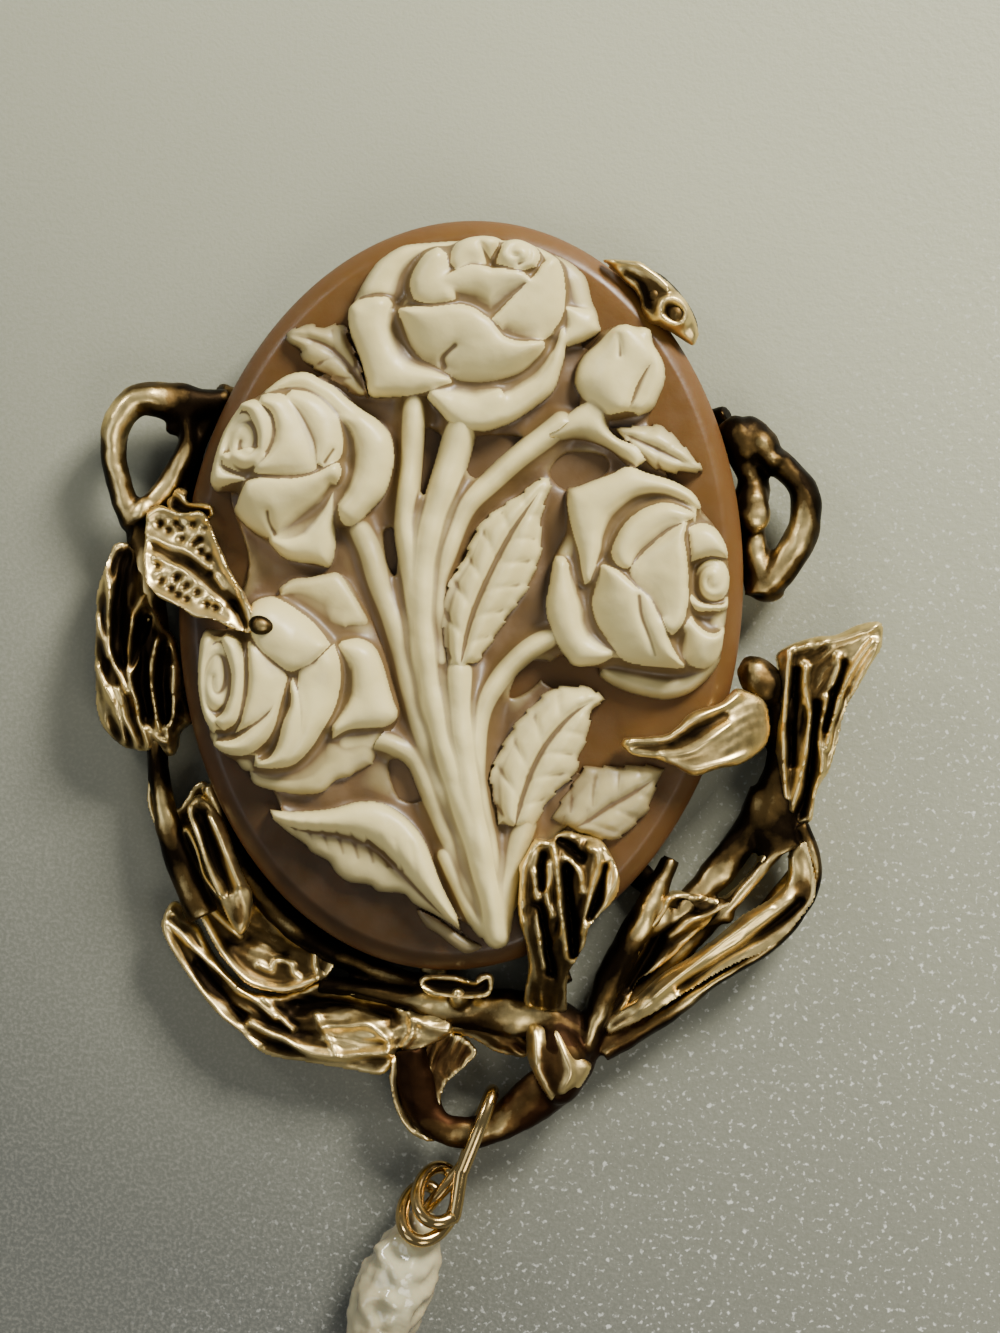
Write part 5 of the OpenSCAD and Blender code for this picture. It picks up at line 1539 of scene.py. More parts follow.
cast_leaf(
    "pitted_leaf", thick=0.9, crown=-0.25, lines=0.04, seed=3, painted_light_level=0.3,
    outline=[(-17, 2.6), (-16.85, 3.3), (-16.4, 3.5), (-15.8, 3.3), (-15, 3.2), (-14.1, 3.3), (-13.7, 3),
        (-13.3, 2.4), (-13, 1.85), (-12.6, 1.15), (-12.3, 0.45), (-11.8, -0.15), (-11.3, -0.7),
        (-11.1, -1.3), (-10.7, -1.9), (-10.7, -2.85), (-11.3, -2.9), (-11.8, -2.7), (-12.4, -2.5),
        (-13.2, -2.3), (-13.9, -2.25), (-14.6, -1.9), (-15.3, -1.55), (-16, -1.3), (-16.5, -0.85),
        (-16.7, -0.15), (-16.9, 0.7), (-17, 1.5)],
    spine=[(-1.16, 0.13, 0.9), (-1.05, 0.06, 1.2), (-0.95, 0.01, 1.44), (-0.84, -0.06, 1.66),
        (-0.75, -0.1, 1.76), (-0.68, -0.12, 1.78)],
    ridges=[
        ([(-13.6, 3), (-13, 1.9), (-12.7, 1.1), (-12.2, 0.3), (-11.5, -0.5), (-11.2, -1.1)], 0.2, 0.4),
        ([(-16.9, 2.8), (-16.2, 3.3), (-15, 3.1), (-14, 3.2)], 0.16, 0.35),
        ([(-16.8, 1.4), (-16.7, 0), (-16.3, -1), (-15, -1.6), (-13.6, -2.2), (-12, -2.5)], 0.16, 0.3),
        ([(-17, 1.9), (-15.6, 1.4), (-14.5, 1.1), (-13.3, 0.4), (-12.4, -0.6)], 0.1, 0.16),
        ([(-16.7, 0.9), (-15.5, 0.4), (-14.6, 0.1), (-13.6, -0.6), (-12.4, -1.5)], 0.1, 0.16),
    ],
    grooves=[
        ([(-16.7, 1.4), (-15.6, 0.95), (-14.6, 0.6), (-13.6, -0.05), (-12.8, -0.7), (-12.1, -1.3)],
         0.3, 0.22),
        ([(-11.7, -1.5), (-11.3, -2.2), (-11.1, -2.6)], 0.25, 0.4),
    ],
    pits=[(-15.3, 2.6), (-15, 2.3), (-15.7, 2.2), (-14.9, 1.8), (-14.2, 1.6), (-13.8, 1.2), (-13.6, 2.5),
        (-13.9, 1.8), (-13.4, 0.9), (-13.1, 0.1), (-16.2, 2.5), (-14.4, 2.6), (-15.2, -0.9), (-14.8, -1.2),
        (-14.4, -0.7), (-14.3, -1.4), (-13.8, -1), (-13.2, -1.6), (-12.7, -1.7), (-15.8, -0.5),
        (-16.1, 0.3), (-15, -0.3)])
cast_leaf(
    "leaf_fold", thick=0.7, crown=0.1, lines=0.1, seed=4, painted_light_level=0.0,
    outline=[(-15.7, 4.3), (-15.4, 4.6), (-15.05, 4.4), (-15, 3.95), (-14.6, 3.8), (-14, 3.75),
        (-13.5, 3.65), (-13.3, 3.2), (-13.9, 2.8), (-15, 2.9), (-15.8, 3.1), (-16, 3.8)],
    spine=[(-1.05, 0.21, 0.7), (-0.98, 0.17, 1.05), (-0.9, 0.15, 1.2)],
    ridges=[
        ([(-15.6, 4.3), (-15.1, 4.1), (-14.6, 3.75), (-13.5, 3.6)], 0.12, 0.3),
    ],
    grooves=[
        ([(-15.5, 3.6), (-14.6, 3.3), (-13.7, 3.2)], 0.2, 0.4),
    ])
cast_leaf(
    "left_pod", thick=1.6, crown=0.85, lines=0.12, seed=5, painted_light_level=-0.4,
    outline=[(-18.8, 1.2), (-18.3, 1.5), (-17.8, 1.6), (-17.3, 1.8), (-17, 1.3), (-16.85, 0.2),
        (-16.7, -0.75), (-16.6, -1.4), (-16.3, -2), (-15.9, -2.7), (-15.3, -3.3), (-15, -3.8),
        (-14.8, -4.7), (-14.6, -5.5), (-14.5, -6.2), (-14.2, -7.1), (-13.95, -7.9), (-14.45, -8.45),
        (-14.6, -9.4), (-14.9, -9.8), (-15.45, -9.7), (-16.5, -9.7), (-17.3, -9.55), (-18, -9.2),
        (-18.45, -8.7), (-18.8, -8.1), (-19.1, -7.3), (-19.2, -5.5), (-19.3, -3.8), (-19.4, -2.9),
        (-19.5, -1.9), (-19.4, -1.1), (-19.2, -0.2), (-19.05, 0.55)],
    spine=[(-1.2, 0.06, 0.5), (-1.19, -0.05, 0.6), (-1.18, -0.18, 0.68), (-1.16, -0.32, 0.66),
        (-1.12, -0.43, 0.55), (-1.07, -0.485, 0.5)],
    ridges=[
        ([(-18.3, 1.45), (-18.75, 1.1), (-19, 0.5), (-19.1, 0), (-18.9, -0.5), (-18.7, -1.2),
          (-18.6, -2.3), (-18.5, -3.5), (-18.3, -4.6), (-17.9, -5.4), (-17.3, -6.5)], 0.13, 0.5),
        ([(-16.7, -1.3), (-17.1, -2.1), (-17.3, -3), (-17.35, -5), (-17.2, -5.8), (-16.7, -7.1),
          (-16.6, -8), (-16.2, -8.8), (-16, -9.5)], 0.13, 0.5),
        ([(-15.9, -3.6), (-16.05, -4.6), (-16.05, -5.8), (-15.9, -6.7), (-15.5, -8.4)], 0.14, 0.45),
        ([(-14.9, -5), (-14.8, -7), (-14.9, -8), (-15.1, -8.4), (-15, -9), (-15.5, -8.9), (-16.1, -8.4)],
         0.13, 0.4),
        ([(-17.8, -6.4), (-17.5, -7.2), (-17.3, -8), (-16.8, -9), (-16.6, -9.5)], 0.12, 0.4),
        ([(-18.3, -6.4), (-18, -7), (-17.6, -8.2), (-17.3, -9.2)], 0.12, 0.4),
        ([(-19, -5.3), (-18.6, -6.2), (-18.1, -7.1)], 0.13, 0.4),
        ([(-19.3, -2.6), (-19.1, -3.2), (-18.75, -3.9), (-18.45, -4.7)], 0.13, 0.4),
        ([(-16.75, -4), (-16.85, -4.9), (-17.15, -5.5)], 0.1, 0.3),
    ],
    grooves=[
        ([(-18, 0.6), (-18.1, -1.5), (-18, -3.5), (-17.7, -4.9)], 0.3, 0.5),
        ([(-16.6, -2.6), (-16.7, -4), (-16.6, -6), (-16.2, -7.6)], 0.26, 0.5),
        ([(-15.4, -4.2), (-15.5, -6), (-15.2, -7.6)], 0.22, 0.4),
    ],
    gleams=[(-18.3, -7.5, 1.4, 0.9), (-15.6, -8.9, 1.2, 0.7), (-18.9, -1, 0.8, 0.4)])
cast_leaf(
    "left_sweep", thick=1.3, crown=-0.35, lines=0.04, seed=6, painted_light_level=-0.15,
    outline=[(-15.6, -9.6), (-16.1, -10.3), (-15.95, -11.3), (-15.9, -12.4), (-15.5, -13.5),
        (-14.8, -14.75), (-14.1, -16.1), (-13.4, -17.1), (-12.75, -18.2), (-12.05, -19.2), (-11.2, -20.4),
        (-10.4, -21.3), (-9.55, -21.8), (-8.7, -22), (-7.9, -22), (-6.9, -21.8), (-6.1, -21.3),
        (-5.5, -20.9), (-5.4, -19.9), (-7, -18.7), (-8.5, -17.4), (-9.8, -16), (-11, -14.4),
        (-12.2, -12.4), (-12.9, -11.1), (-13.6, -11.3), (-14.3, -12.6), (-14.9, -12.4), (-15.1, -10)],
    spine=[(-1.03, -0.5, 0.46), (-1.0, -0.62, 0.5), (-0.92, -0.76, 0.52), (-0.8, -0.88, 0.54),
        (-0.66, -0.97, 0.54), (-0.45, -1.03, 0.5)],
    ridges=[
        ([(-15.9, -10.3), (-15.8, -12.3), (-15.3, -13.5), (-14.6, -14.8), (-13.9, -16.1), (-12.6, -18.2),
          (-11.9, -19.2), (-11, -20.4), (-10.3, -21.1), (-9.4, -21.6), (-7.9, -21.8), (-6.1, -21.1)],
         0.2, 0.5),
        ([(-13, -16.6), (-12.2, -17.7), (-10.9, -18.8), (-10.4, -19.2)], 0.13, 0.35),
        ([(-10, -16.4), (-9.7, -16.9), (-9.3, -16.8), (-8.9, -17.3)], 0.12, 0.3),
        ([(-9.4, -17.4), (-8.9, -17.9), (-7.6, -19.1), (-6.9, -19.3), (-6.4, -19.5), (-6.3, -20.4),
          (-6, -21)], 0.15, 0.4),
        ([(-9.3, -20.6), (-8.6, -20.8), (-8.4, -20.3), (-7.6, -20.4), (-7.4, -20.9), (-7.1, -21.1)],
         0.12, 0.3),
        ([(-14.3, -13.9), (-13.8, -13.7), (-13.4, -14.2), (-13, -15), (-12.6, -16.1), (-11.6, -17.2),
          (-10.5, -18.7)], 0.13, 0.35),
    ],
    grooves=[
        ([(-15, -13), (-14, -15), (-12.8, -17)], 0.25, 0.35),
        ([(-10.6, -19.6), (-9.4, -19.2), (-8, -19.9)], 0.5, 0.3),
    ],
    gleams=[(-8.6, -19.6, 2.2, 0.6), (-12, -15.4, 1.6, 0.5), (-14.6, -15, 0.9, 0.5)])
cast_leaf(
    "folded_inner", thick=1.2, crown=0.35, lines=0.06, seed=7, painted_light_level=-0.1,
    outline=[(-13.7, -12.5), (-13.6, -12), (-13.2, -11.75), (-12.7, -11.9), (-12, -12.6), (-11.4, -13.6),
        (-10.8, -14.9), (-10.2, -16.2), (-9.9, -16.8), (-9.8, -17.6), (-9.9, -18.3), (-10.3, -19),
        (-10.8, -18.6), (-11.6, -17.2), (-12.4, -15.8), (-13, -14.4), (-13.4, -13.3)],
    spine=[(-0.88, -0.6, 0.72), (-0.83, -0.7, 0.76), (-0.75, -0.82, 0.76), (-0.68, -0.93, 0.7)],
    ridges=[
        ([(-13.6, -12.4), (-13.3, -13.3), (-12.8, -14.2), (-12.4, -15.2), (-11.6, -16.9)], 0.16, 0.4),
        ([(-12.4, -12.8), (-11.9, -13.6), (-11.4, -14.6), (-10.9, -15.6), (-10.5, -16.3)], 0.16, 0.4),
    ],
    grooves=[
        ([(-12.9, -12.8), (-12.4, -14), (-11.8, -15.4), (-11.1, -16.6)], 0.25, 0.4),
    ],
    gleams=[(-10.8, -16.4, 1.2, 0.7)])
cast_leaf(
    "long_leaf", thick=1.2, crown=0.2, lines=0.11, seed=8, painted_light_level=-0.25,
    outline=[(-14.3, -17.7), (-13.7, -17.8), (-13.45, -18.4), (-12.75, -18.9), (-12, -20), (-11, -21.2),
        (-10, -22), (-8.5, -22.2), (-7, -21.9), (-5.5, -21), (-5.1, -21.5), (-2, -21.6), (-1.3, -22.3),
        (0.6, -22.2), (1.35, -23.1), (0.9, -23.8), (0.05, -24.3), (-0.9, -24.6), (-1.5, -24.6),
        (-2, -25.9), (-3.7, -25.85), (-6.5, -25.7), (-7.9, -25.5), (-9, -25.2), (-10.1, -24.3),
        (-11.2, -23.5), (-12.05, -22.7), (-12.9, -21.7), (-13.6, -20.9), (-14.3, -19.9), (-14.7, -18.9),
        (-14.6, -18.1)],
    spine=[(-0.95, -0.9, 0.4), (-0.88, -1.0, 0.44), (-0.74, -1.11, 0.46), (-0.56, -1.18, 0.46),
        (-0.37, -1.21, 0.48), (-0.18, -1.2, 0.52), (-0.03, -1.175, 0.58), (0.09, -1.155, 0.62)],
    ridges=[
        ([(-9.5, -23.7), (-8.6, -24.1), (-7.6, -24.4), (-6.7, -24.9), (-5.5, -25.1), (-4.4, -25.1),
          (-3, -24.8), (-2, -24.7)], 0.2, 0.5),
        ([(-5.6, -23.6), (-4.8, -23.5), (-3.2, -23.3), (-2.1, -24), (-2, -24.5)], 0.2, 0.45),
        ([(-9, -22.2), (-7.9, -23.3), (-7.2, -23.9)], 0.13, 0.35),
        ([(-6, -23), (-5.4, -24), (-4.7, -25)], 0.13, 0.3),
        ([(-14.2, -18.8), (-12.4, -20.3), (-10.7, -21.6), (-9.2, -22.6), (-8.2, -23.3)], 0.14, 0.4),
        ([(-4.6, -21.6), (-4, -21.7), (-2, -21.7)], 0.15, 0.4),
        ([(-14.4, -18.2), (-14.5, -19), (-13.6, -20.6), (-12, -22.5), (-10.2, -24.1), (-9, -25)],
         0.17, 0.45),
        ([(-1.2, -22.3), (-0.3, -23), (0.6, -23.2), (1.1, -23.2)], 0.2, 0.35),
        ([(-1.2, -24.3), (-0.8, -23.6), (-0.9, -22.8)], 0.15, 0.35),
    ],
    grooves=[
        ([(-7, -22.6), (-5, -22.4), (-3.4, -22.5), (-2, -22.8)], 0.4, 0.6),
        ([(-12.6, -20.9), (-11.4, -22.2), (-10, -23.4)], 0.25, 0.4),
    ],
    gleams=[(-3.8, -23.4, 2, 1.0), (-10.8, -23.2, 1.5, 0.6), (-0.3, -23.4, 1, 0.6)])
cast_leaf(
    "curled_tab", thick=1.0, crown=-0.3, lines=0.04, seed=9, painted_light_level=-0.7,
    outline=[(-0.65, -20.8), (-0.35, -20.35), (0.2, -20.25), (1.5, -20.25), (2.3, -20.4), (2.55, -20.1),
        (3.05, -19.95), (3.35, -20.2), (3.3, -21), (2.95, -21.2), (1.85, -21.4), (0.7, -21.4),
        (-0.1, -21.3)],
    spine=[(-0.03, -1.04, 0.84), (0.09, -1.04, 0.9), (0.21, -1.03, 0.88)],
    ridges=[
        ([(-0.5, -20.8), (-0.2, -20.4), (1.5, -20.35), (2.4, -20.45), (3, -20.1), (3.2, -20.5), (3.1, -21),
          (1.9, -21.3), (0.5, -21.25), (-0.4, -21)], 0.14, 0.4),
    ])
cast_leaf(
    "centre_mass", thick=1.4, crown=0.4, lines=0.13, seed=10, painted_light_level=-0.3,
    outline=[(-2.2, -21.4), (0, -21), (3, -21), (5, -21.4), (6.2, -22.6), (5.6, -24.4), (3.9, -24.3),
        (2.4, -23.6), (0.5, -23.4), (-1.5, -22.8)],
    spine=[(-0.15, -1.09, 0.5), (0.1, -1.1, 0.52), (0.3, -1.12, 0.55), (0.4, -1.17, 0.5)])
cast_leaf(
    "hook_bowl", thick=1.0, crown=-0.4, lines=0.13, seed=11, painted_light_level=-0.3,
    outline=[(-1.8, -26.05), (-1.6, -26.95), (-1.4, -27.75), (-0.75, -28.7), (0.05, -29.2), (0.9, -29.35),
        (1.6, -28.8), (1.2, -28), (1, -27), (1.3, -26), (2.2, -25.2), (2.8, -24.4), (1.8, -23.5),
        (0.3, -23.6), (-1, -24.3), (-1.8, -25)],
    spine=[(0.03, -1.16, 0.56), (-0.02, -1.27, 0.58), (0.0, -1.36, 0.57), (0.04, -1.43, 0.52)],
    ridges=[
        ([(-1.7, -25.2), (-1.6, -26.9), (-1.2, -27.8), (-0.5, -28.7), (0.5, -29.2)], 0.18, 0.4),
        ([(0.2, -25.5), (-0.1, -26.6), (0.1, -27.8)], 0.13, 0.25),
    ],
    gleams=[(-1, -28.3, 1.1, 0.6)])
cast_leaf(
    "bottom_pod", thick=1.1, crown=0.3, lines=0.1, seed=12, painted_light_level=-0.25,
    outline=[(4.2, -14.2), (4.25, -13.7), (4.6, -13.1), (5.05, -12.5), (5.7, -12.45), (6, -12.2),
        (6.7, -11.95), (7.5, -12.1), (8.3, -12.35), (8.9, -12.9), (9.3, -13.55), (9.5, -14.4),
        (9.25, -15.3), (8.7, -16.15), (8.1, -16.95), (7.95, -17.75), (7.7, -18.55), (7.3, -19.5),
        (7.25, -20.8), (7.15, -21.8), (5.3, -21.6), (5.05, -20.8), (5.05, -19.5), (4.9, -18.25),
        (4.5, -17), (4.25, -15.8)],
    spine=[(0.41, -1.08, 0.72), (0.41, -0.99, 1.1), (0.42, -0.86, 1.42), (0.455, -0.74, 1.52),
        (0.465, -0.65, 1.48), (0.465, -0.605, 1.44)],
    ridges=[
        ([(4.6, -16.9), (4.45, -15.8), (4.4, -14.8), (4.45, -13.9), (4.7, -13.1), (5, -12.7), (5.5, -12.6),
          (5.85, -12.7), (6, -13.3), (6.2, -13.9), (6.35, -14.7), (6.6, -16.3), (6.9, -17.8), (7.1, -18.5),
          (7.4, -18.8)], 0.15, 0.5),
        ([(5.7, -13.7), (5.8, -14.5), (5.75, -15.3), (6.1, -16.4)], 0.13, 0.35),
        ([(5.05, -14.2), (5.2, -15.2), (5.5, -17.3), (5.95, -19.2)], 0.13, 0.35),
        ([(6.5, -13.3), (6.9, -13.5), (7.4, -14.1), (7.6, -15)], 0.13, 0.35),
        ([(7.8, -12.7), (8.2, -12.9), (8.3, -13.6), (8, -15.4), (7.8, -17.2)], 0.18, 0.45),
        ([(8.5, -12.6), (9.1, -13.2), (9.3, -14.2), (8.7, -15.9), (8, -16.9)], 0.18, 0.4),
    ],
    grooves=[
        ([(8.7, -13.6), (8.45, -14.8), (8.05, -16.4)], 0.16, 0.6),
        ([(6.7, -14), (6.8, -15), (7, -16), (7.2, -17), (7.4, -18.5)], 0.22, 0.75),
        ([(5.3, -15.9), (5.7, -17), (6.3, -19.5)], 0.2, 0.6),
        ([(6.2, -12.5), (6.8, -12.8), (7.4, -13.3)], 0.2, 0.55),
        ([(5.4, -13.3), (5.3, -14.2), (5.45, -15)], 0.16, 0.5),
    ],
    gleams=[(8.9, -13.8, 1.2, 0.9), (4.9, -13.4, 0.8, 0.4)])
cast_leaf(
    "smooth_bud", thick=1.6, crown=0.75, lines=0.02, seed=13, painted_light_level=-0.35,
    outline=[(5.3, -22.6), (6, -22.35), (6.85, -22.35), (7.5, -22.8), (8.1, -23.6), (8.85, -24.4),
        (8.9, -24.7), (8.45, -25.5), (8, -26.15), (7.3, -26.4), (6.9, -26.55), (6.35, -26), (5.8, -25),
        (5.45, -24.2)],
    spine=[(0.43, -1.12, 0.66), (0.47, -1.18, 0.8), (0.49, -1.24, 0.82), (0.47, -1.32, 0.7)],
    ridges=[
        ([(5.7, -22.7), (5.8, -23.6), (5.9, -24.3), (6.05, -25), (6.7, -26.2)], 0.2, 0.3),
        ([(6.8, -22.6), (7.1, -23.2), (7.7, -24.4), (7.75, -25), (7.4, -25.8)], 0.2, 0.3),
    ],
    gleams=[(8.2, -24.9, 0.9, 0.8), (6, -23.2, 0.7, 0.5)])
cast_leaf(
    "smooth_leaf", thick=0.9, crown=0.45, lines=0.03, seed=14, painted_light_level=0.35,
    outline=[(9.05, -7.1), (9.3, -6.8), (10.45, -6.7), (11.1, -6.6), (11.8, -6.1), (12.5, -5.4),
        (13.4, -4.9), (14.2, -4.5), (14.9, -3.85), (15.6, -3.85), (16.4, -4.2), (16.8, -5.05), (17, -6.1),
        (16.65, -6.95), (15.6, -7.65), (14.6, -8), (13.9, -8.3), (13.05, -8.5), (12.35, -8.4),
        (11.8, -8.05), (10.95, -7.8), (9.75, -7.8), (9.25, -7.4)],
    spine=[(0.61, -0.355, 1.4), (0.72, -0.355, 1.4), (0.83, -0.345, 1.4), (0.95, -0.315, 1.3),
        (1.06, -0.285, 0.99), (1.12, -0.28, 0.84)],
    ridges=[
        ([(9.3, -6.9), (10.4, -6.8), (11.2, -6.7), (11.9, -6.2), (12.6, -5.6), (13.5, -5.1), (14.3, -4.7),
          (15, -4.1)], 0.2, 0.3),
        ([(11.2, -7.6), (12.3, -7.4), (13.3, -6.8), (14.7, -5.7)], 0.14, 0.2),
        ([(11.4, -7.9), (12.8, -8.2), (14.2, -7.8), (15.8, -7.2)], 0.14, 0.2),
    ],
    grooves=[
        ([(9.8, -7.25), (11, -7.1), (12.2, -6.6), (13.2, -6), (14.3, -5.3)], 0.3, 0.28),
    ])
cast_leaf(
    "folded_leaf", thick=1.2, crown=0.35, lines=0.12, seed=15, painted_light_level=-0.25,
    outline=[(22.25, 0.3), (22.6, -0.2), (22.5, -1.1), (22, -1.95), (21.5, -3.15), (20.95, -4.5),
        (20.6, -6.25), (20.3, -7.8), (19.9, -8.85), (19.7, -9.9), (19.6, -10.6), (19.05, -10.9),
        (18.4, -10.9), (18, -10.4), (17.8, -9.2), (17.5, -7.8), (17.35, -6.25), (17.35, -4.5),
        (17.2, -2.8), (17.1, -1.8), (17.7, -1.2), (19.05, -0.75), (20.1, -0.5), (21.15, 0.05)],
    spine=[(1.48, 0.0, 0.9), (1.38, -0.08, 0.86), (1.3, -0.17, 0.8), (1.26, -0.3, 0.72),
        (1.25, -0.43, 0.62), (1.25, -0.53, 0.56)],
    ridges=[
        ([(18.5, -2.3), (18.6, -3.5), (19.1, -5.5), (18.8, -8.2), (18.5, -10)], 0.16, 0.5),
        ([(19.8, -3.9), (19.6, -6), (19.9, -7.4), (19.7, -9.2), (19.5, -10.6)], 0.14, 0.45),
        ([(20.1, -1.6), (20.3, -2.3), (20.1, -3.2)], 0.14, 0.3),
        ([(21.9, -0.7), (20.9, -2.5), (20.3, -4.5), (20, -6.6)], 0.15, 0.45),
        ([(22.3, -0.8), (21.3, -3.2), (20.6, -6.2), (20.2, -8)], 0.14, 0.4),
        ([(17.6, -1.8), (17.6, -4), (17.7, -6.5), (18.1, -9.4)], 0.16, 0.45),
        ([(17.5, -1.5), (19, -1.1), (20.6, -0.6), (22.1, 0.1)], 0.17, 0.35),
    ],
    grooves=[
        ([(19.3, -4.3), (19.3, -6.4), (19.3, -8.6), (19, -10.2)], 0.2, 0.65),
        ([(20.6, -2), (20.1, -4), (19.9, -5.6)], 0.16, 0.5),
        ([(18.1, -2.6), (18.1, -5), (18.3, -7.6)], 0.18, 0.5),
    ],
    gleams=[(21.7, -1.3, 1.4, 0.9), (19.6, -9, 1, 0.6), (17.6, -3, 0.8, 0.4)])
cast_leaf(
    "lower_strip", thick=1.6, crown=0.15, lines=0.05, seed=16, painted_light_level=-0.2,
    outline=[(19.3, -11.5), (19.7, -12.2), (19.9, -13.2), (20.1, -14.2), (19.9, -15), (19.3, -15.9),
        (18.4, -16.9), (17.3, -17.8), (16.1, -18.5), (14.6, -19.35), (13.55, -20.2), (12.2, -21.3),
        (10.6, -22.3), (9.6, -22.8), (9.5, -22), (11, -20.8), (12.4, -19.3), (13.9, -18.15), (15.8, -16.6),
        (16.65, -15.7), (17.7, -14.9), (18.5, -14.2), (18.7, -13.4), (18.6, -12.3)],
    spine=[(1.28, -0.58, 0.62), (1.31, -0.7, 0.72), (1.18, -0.83, 0.78), (1.0, -0.93, 0.78),
        (0.85, -1.01, 0.75), (0.66, -1.13, 0.66)],
    ridges=[
        ([(19.5, -11.6), (20, -13.2), (20.1, -14.2), (19.9, -15.1), (19.3, -16), (18.4, -17),
          (17.3, -17.9), (16.1, -18.6), (14.9, -19.3), (13.9, -20), (12, -21.6)], 0.15, 0.4),
        ([(18.6, -14.8), (17.7, -15.5), (16.3, -16.8), (14.5, -18.3), (12.9, -19.6), (11.4, -21.1)],
         0.45, 0.35),
        ([(17.7, -15.2), (15.6, -17), (13.2, -19.2), (11.9, -20.5)], 0.13, 0.3),
    ],
    grooves=[
        ([(19.3, -14.9), (18.2, -16), (16.8, -17.2), (15.2, -18.4), (13.2, -20)], 0.2, 0.45),
    ],
    gleams=[(15.6, -17.4, 2.4, 0.9), (12, -20.6, 1.5, 0.8), (19.6, -13, 1, 0.6)])
cast_leaf(
    "inner_strip", thick=1.5, crown=0.1, lines=0.1, seed=17, painted_light_level=-0.35,
    outline=[(17.6, -12.4), (17.5, -13.3), (17, -14.1), (16.4, -15), (15.4, -15.9), (14, -17),
        (12.9, -18.2), (11.9, -19.2), (11, -20), (10.3, -21.6), (9, -22.6), (8.4, -21.6), (9.4, -19.6),
        (10.3, -17.9), (11.2, -16.2), (12.2, -15), (13.7, -14.9), (15.2, -15), (16.2, -14.2),
        (16.8, -13.2), (17, -12.4)],
    spine=[(1.14, -0.62, 0.6), (1.07, -0.72, 0.66), (0.93, -0.79, 0.7), (0.82, -0.85, 0.7),
        (0.72, -0.97, 0.68), (0.6, -1.1, 0.6)],
    ridges=[
        ([(17.2, -12.7), (16.8, -13.9), (16.1, -14.8), (15, -15.5), (13.6, -16.3), (12.4, -17.2)],
         0.2, 0.5),
        ([(12.3, -15.2), (11.9, -16.2), (11.2, -17.2), (10.7, -18.4), (10.2, -19.4), (9.3, -21.4)],
         0.2, 0.5),
        ([(13.6, -15.1), (14.4, -15), (15, -15.3)], 0.13, 0.3),
    ],
    grooves=[
        ([(12.6, -16.4), (11.9, -17.6), (11.3, -18.9), (10.6, -20.2)], 0.3, 0.7),
        ([(13, -15.4), (14, -15.9), (15.6, -14.9)], 0.15, 0.35),
    ],
    gleams=[(16.4, -14.3, 1.1, 0.7), (11, -18, 1, 0.5)])
cast_leaf(
    "top_twig_leaf", thick=0.7, crown=0.35, lines=0.05, seed=18, painted_light_level=-0.1,
    outline=[(6.15, 18.3), (6.9, 18.4), (7.7, 18.35), (8.3, 18.2), (8.85, 17.9), (9.3, 17.5), (10, 17.1),
        (10.55, 16.65), (10.9, 16), (11.3, 15.4), (11.55, 14.8), (11.4, 14.4), (11.1, 14.25), (10.3, 14.6),
        (9.75, 14.9), (9.3, 15.05), (8.85, 15.1), (8.45, 15.8), (8.2, 16.35), (7.7, 16.95), (7.1, 17.5),
        (6.45, 18.05)],
    spine=[(0.45, 0.91, 1.0), (0.55, 0.89, 1.08), (0.64, 0.83, 1.1), (0.71, 0.78, 1.05),
        (0.76, 0.73, 0.95)],
    ridges=[
        ([(6.5, 18.2), (7.7, 18.2), (8.8, 17.7), (9.6, 17)], 0.17, 0.35),
        ([(9.3, 15.7), (9.5, 16.3), (10.2, 16.4), (10.7, 15.9), (10.6, 15.3), (10, 15.1), (9.4, 15.4)],
         0.2, 0.45),
    ],
    grooves=[
        ([(7.4, 17.6), (8, 17.3), (8.4, 16.7), (8.6, 16)], 0.18, 0.22),
        ([(9.9, 15.7), (10.2, 15.6)], 0.22, 0.35),
    ],
    gleams=[(10.7, 15.3, 1, 0.9), (8, 18, 0.8, 0.4)])


# Pearl drop, level with the floor and leaning to the left. All its places are measured down its
# own line from the hook.

LEAN = math.radians(17)
HOOK = np.array([3.075, -28.6, HOOK_UP])
DOWN = np.array([-math.sin(LEAN), -math.cos(LEAN), 0])
ACROSS = np.array([math.cos(LEAN), -math.sin(LEAN), 0])

# The wire's eye, its neck, its coil, whose turns are in degrees, and its flat head
WIRE_HALF = 0.365
EYE_LONG = 5.4
EYE_HALF = 1.3625
NECK_TOP = 1.944
COIL_TOP = 0.6 * EYE_LONG
COIL_PITCH = 1.2
COIL_HALF = 1.2
COIL_TILT = 1.5
COIL_UP = 0.51
COIL_START = 40
COIL_END = 640
COIL_STEP = 12
HEAD_GAP = 0.12
HEAD_LONG = 0.5
HEAD_SHARE = 1.8

# The pearl's place, its length and half its width
PEARL_DOWN = 5.025
PEARL_SIDE = -1.0
PEARL_LONG = 9.0
PEARL_HALF = 2.05

# The eye's bend, as shares of its length and half width; the pearl's outline, as shares of its own
eye_bend = [(0.36, -0.10), (0.30, -0.55), (0.16, -0.96), (-0.14, -1.00), (-0.37, -0.62), (-0.43, 0.00),
            (-0.37, 0.62), (-0.14, 1.00), (0.16, 1.02), (0.42, 0.96)]
pearl_outline = [(-0.008, 0.2), (0, 0.27), (0.08, 0.52), (0.19, 0.72), (0.30, 0.87), (0.45, 0.96),
                 (0.62, 0.93), (0.78, 0.8), (0.90, 0.6), (0.97, 0.4), (1.0, 0.26), (1.006, 0.2)]


def drop_point(down, side, up):
    """A point of the drop: so far down, to the side and up from the hook."""
    return HOOK + DOWN * down + ACROSS * side + np.array([0, 0, up])


def neck_side(down):
    """How far to the side the wire's neck is."""
    return PEARL_SIDE * (down - NECK_TOP) / (PEARL_DOWN - NECK_TOP)


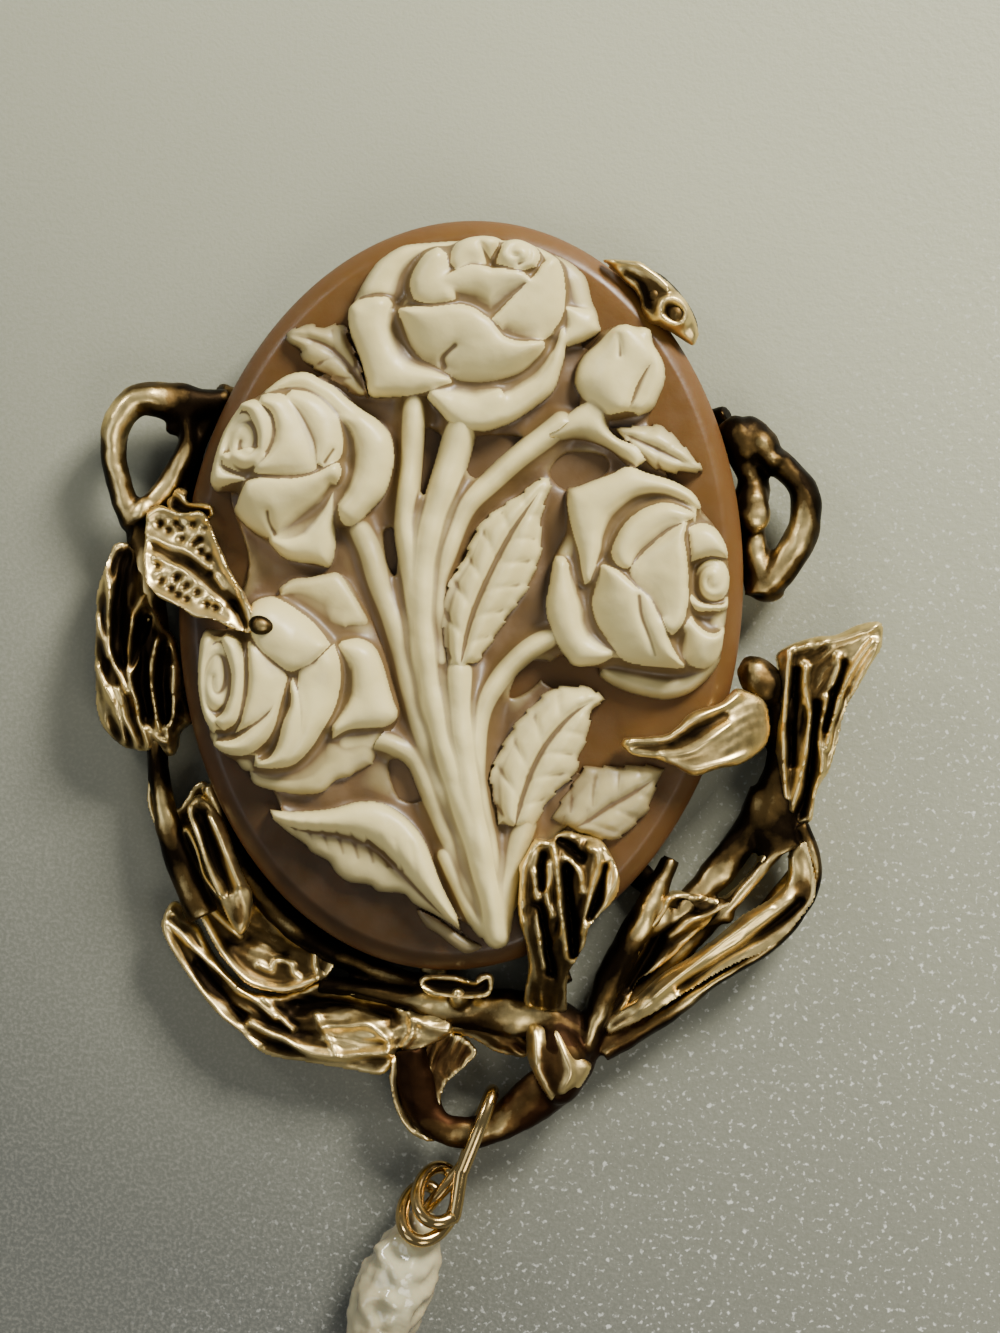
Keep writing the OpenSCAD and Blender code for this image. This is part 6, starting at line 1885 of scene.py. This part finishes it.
def make_wire():
    """One wire: a flat head under the pearl, up through it, round the hook, wrapped at the neck."""
    foot = PEARL_DOWN + PEARL_LONG + HEAD_GAP
    shank = [(foot + HEAD_LONG, HEAD_SHARE), (foot + 0.02, HEAD_SHARE), (foot - 0.03, 1),
             (PEARL_DOWN - HEAD_GAP, 1)]
    path = [drop_point(down, PEARL_SIDE, 0) for down, thick in shank]
    sizes = [WIRE_HALF * thick for down, thick in shank]
    middle = (PEARL_DOWN + NECK_TOP) / 2
    bent = [drop_point(middle, neck_side(middle), 0)]
    bent += [drop_point(down * EYE_LONG, 0, up * EYE_HALF) for down, up in curve(eye_bend, 4)]
    for turn in range(COIL_START, COIL_END + 1, COIL_STEP):
        angle = math.radians(turn)
        down = COIL_TOP + COIL_PITCH * turn / 360
        side = neck_side(down) + COIL_HALF * math.cos(angle)
        tilt = COIL_TILT * math.sin(angle)
        bent.append(drop_point(down + tilt, side, COIL_UP + tilt))
    path += list(curve(bent, 3))
    sizes += [WIRE_HALF] * (len(path) - len(sizes))
    verts, faces = bar(path, sizes, sizes, sides=20, level=False)
    piece = new_piece("wire_of_drop", verts, faces, wire_finish())
    face_outwards(piece)
    finish_piece(piece, "drop_wire", 50.0)


def make_pearl():
    """A lumpy rice pearl, pinched in at both ends where its wire leaves it."""
    rows = curve(pearl_outline, 6)
    path = [drop_point(PEARL_DOWN + share * PEARL_LONG, PEARL_SIDE, 0) for share, wide in rows]
    sizes = [PEARL_HALF * wide for share, wide in rows]
    verts, faces = bar(path, sizes, sizes, sides=64, lumps=0.2)
    piece = new_piece("rice_pearl", verts, faces, pearl_finish())
    face_outwards(piece)
    finish_piece(piece, "drop_pearl", 60.0)


make_wire()
make_pearl()


# Light and floor, in metres

MIDDLE = (0, 0, 0)
FLOOR_SIZE = 0.8
FLOOR_UP = -0.00002
SKY = (0.72, 0.76, 0.80, 1)
SKY_STRENGTH = 0.2


def soft_light(name, place, size, watts, colour):
    """A square lamp that looks at the pendant."""
    bpy.ops.object.light_add(type="AREA", location=place)
    lamp = bpy.context.object
    lamp.name = name
    lamp.data.size = size
    lamp.data.energy = watts
    lamp.data.color = colour
    lamp.rotation_euler = (Vector(MIDDLE) - Vector(place)).to_track_quat("-Z", "Y").to_euler()


soft_light("key", (0.12, 0.19, 0.145), 0.08, 1.75, (1.0, 0.96, 0.88))
soft_light("fill", (-0.20, -0.05, 0.22), 0.16, 0.13, (0.92, 0.96, 1.0))
soft_light("edge_light", (-0.13, 0.10, 0.10), 0.03, 0.10, (1.0, 0.98, 0.94))
soft_light("low_glow", (0.10, -0.14, 0.22), 0.12, 0.25, (1.0, 0.95, 0.84))
world = bpy.data.worlds.new("studio")
world.use_nodes = True
world.node_tree.nodes["Background"].inputs["Color"].default_value = SKY
world.node_tree.nodes["Background"].inputs["Strength"].default_value = SKY_STRENGTH
bpy.context.scene.world = world

bpy.ops.mesh.primitive_plane_add(size=FLOOR_SIZE, location=(0, 0, FLOOR_UP))
floor = bpy.context.object
floor.name = "floor"
bpy.ops.object.transform_apply(location=True, rotation=True, scale=True)
floor.data.materials.append(floor_finish())

bpy.ops.object.select_all(action="DESELECT")
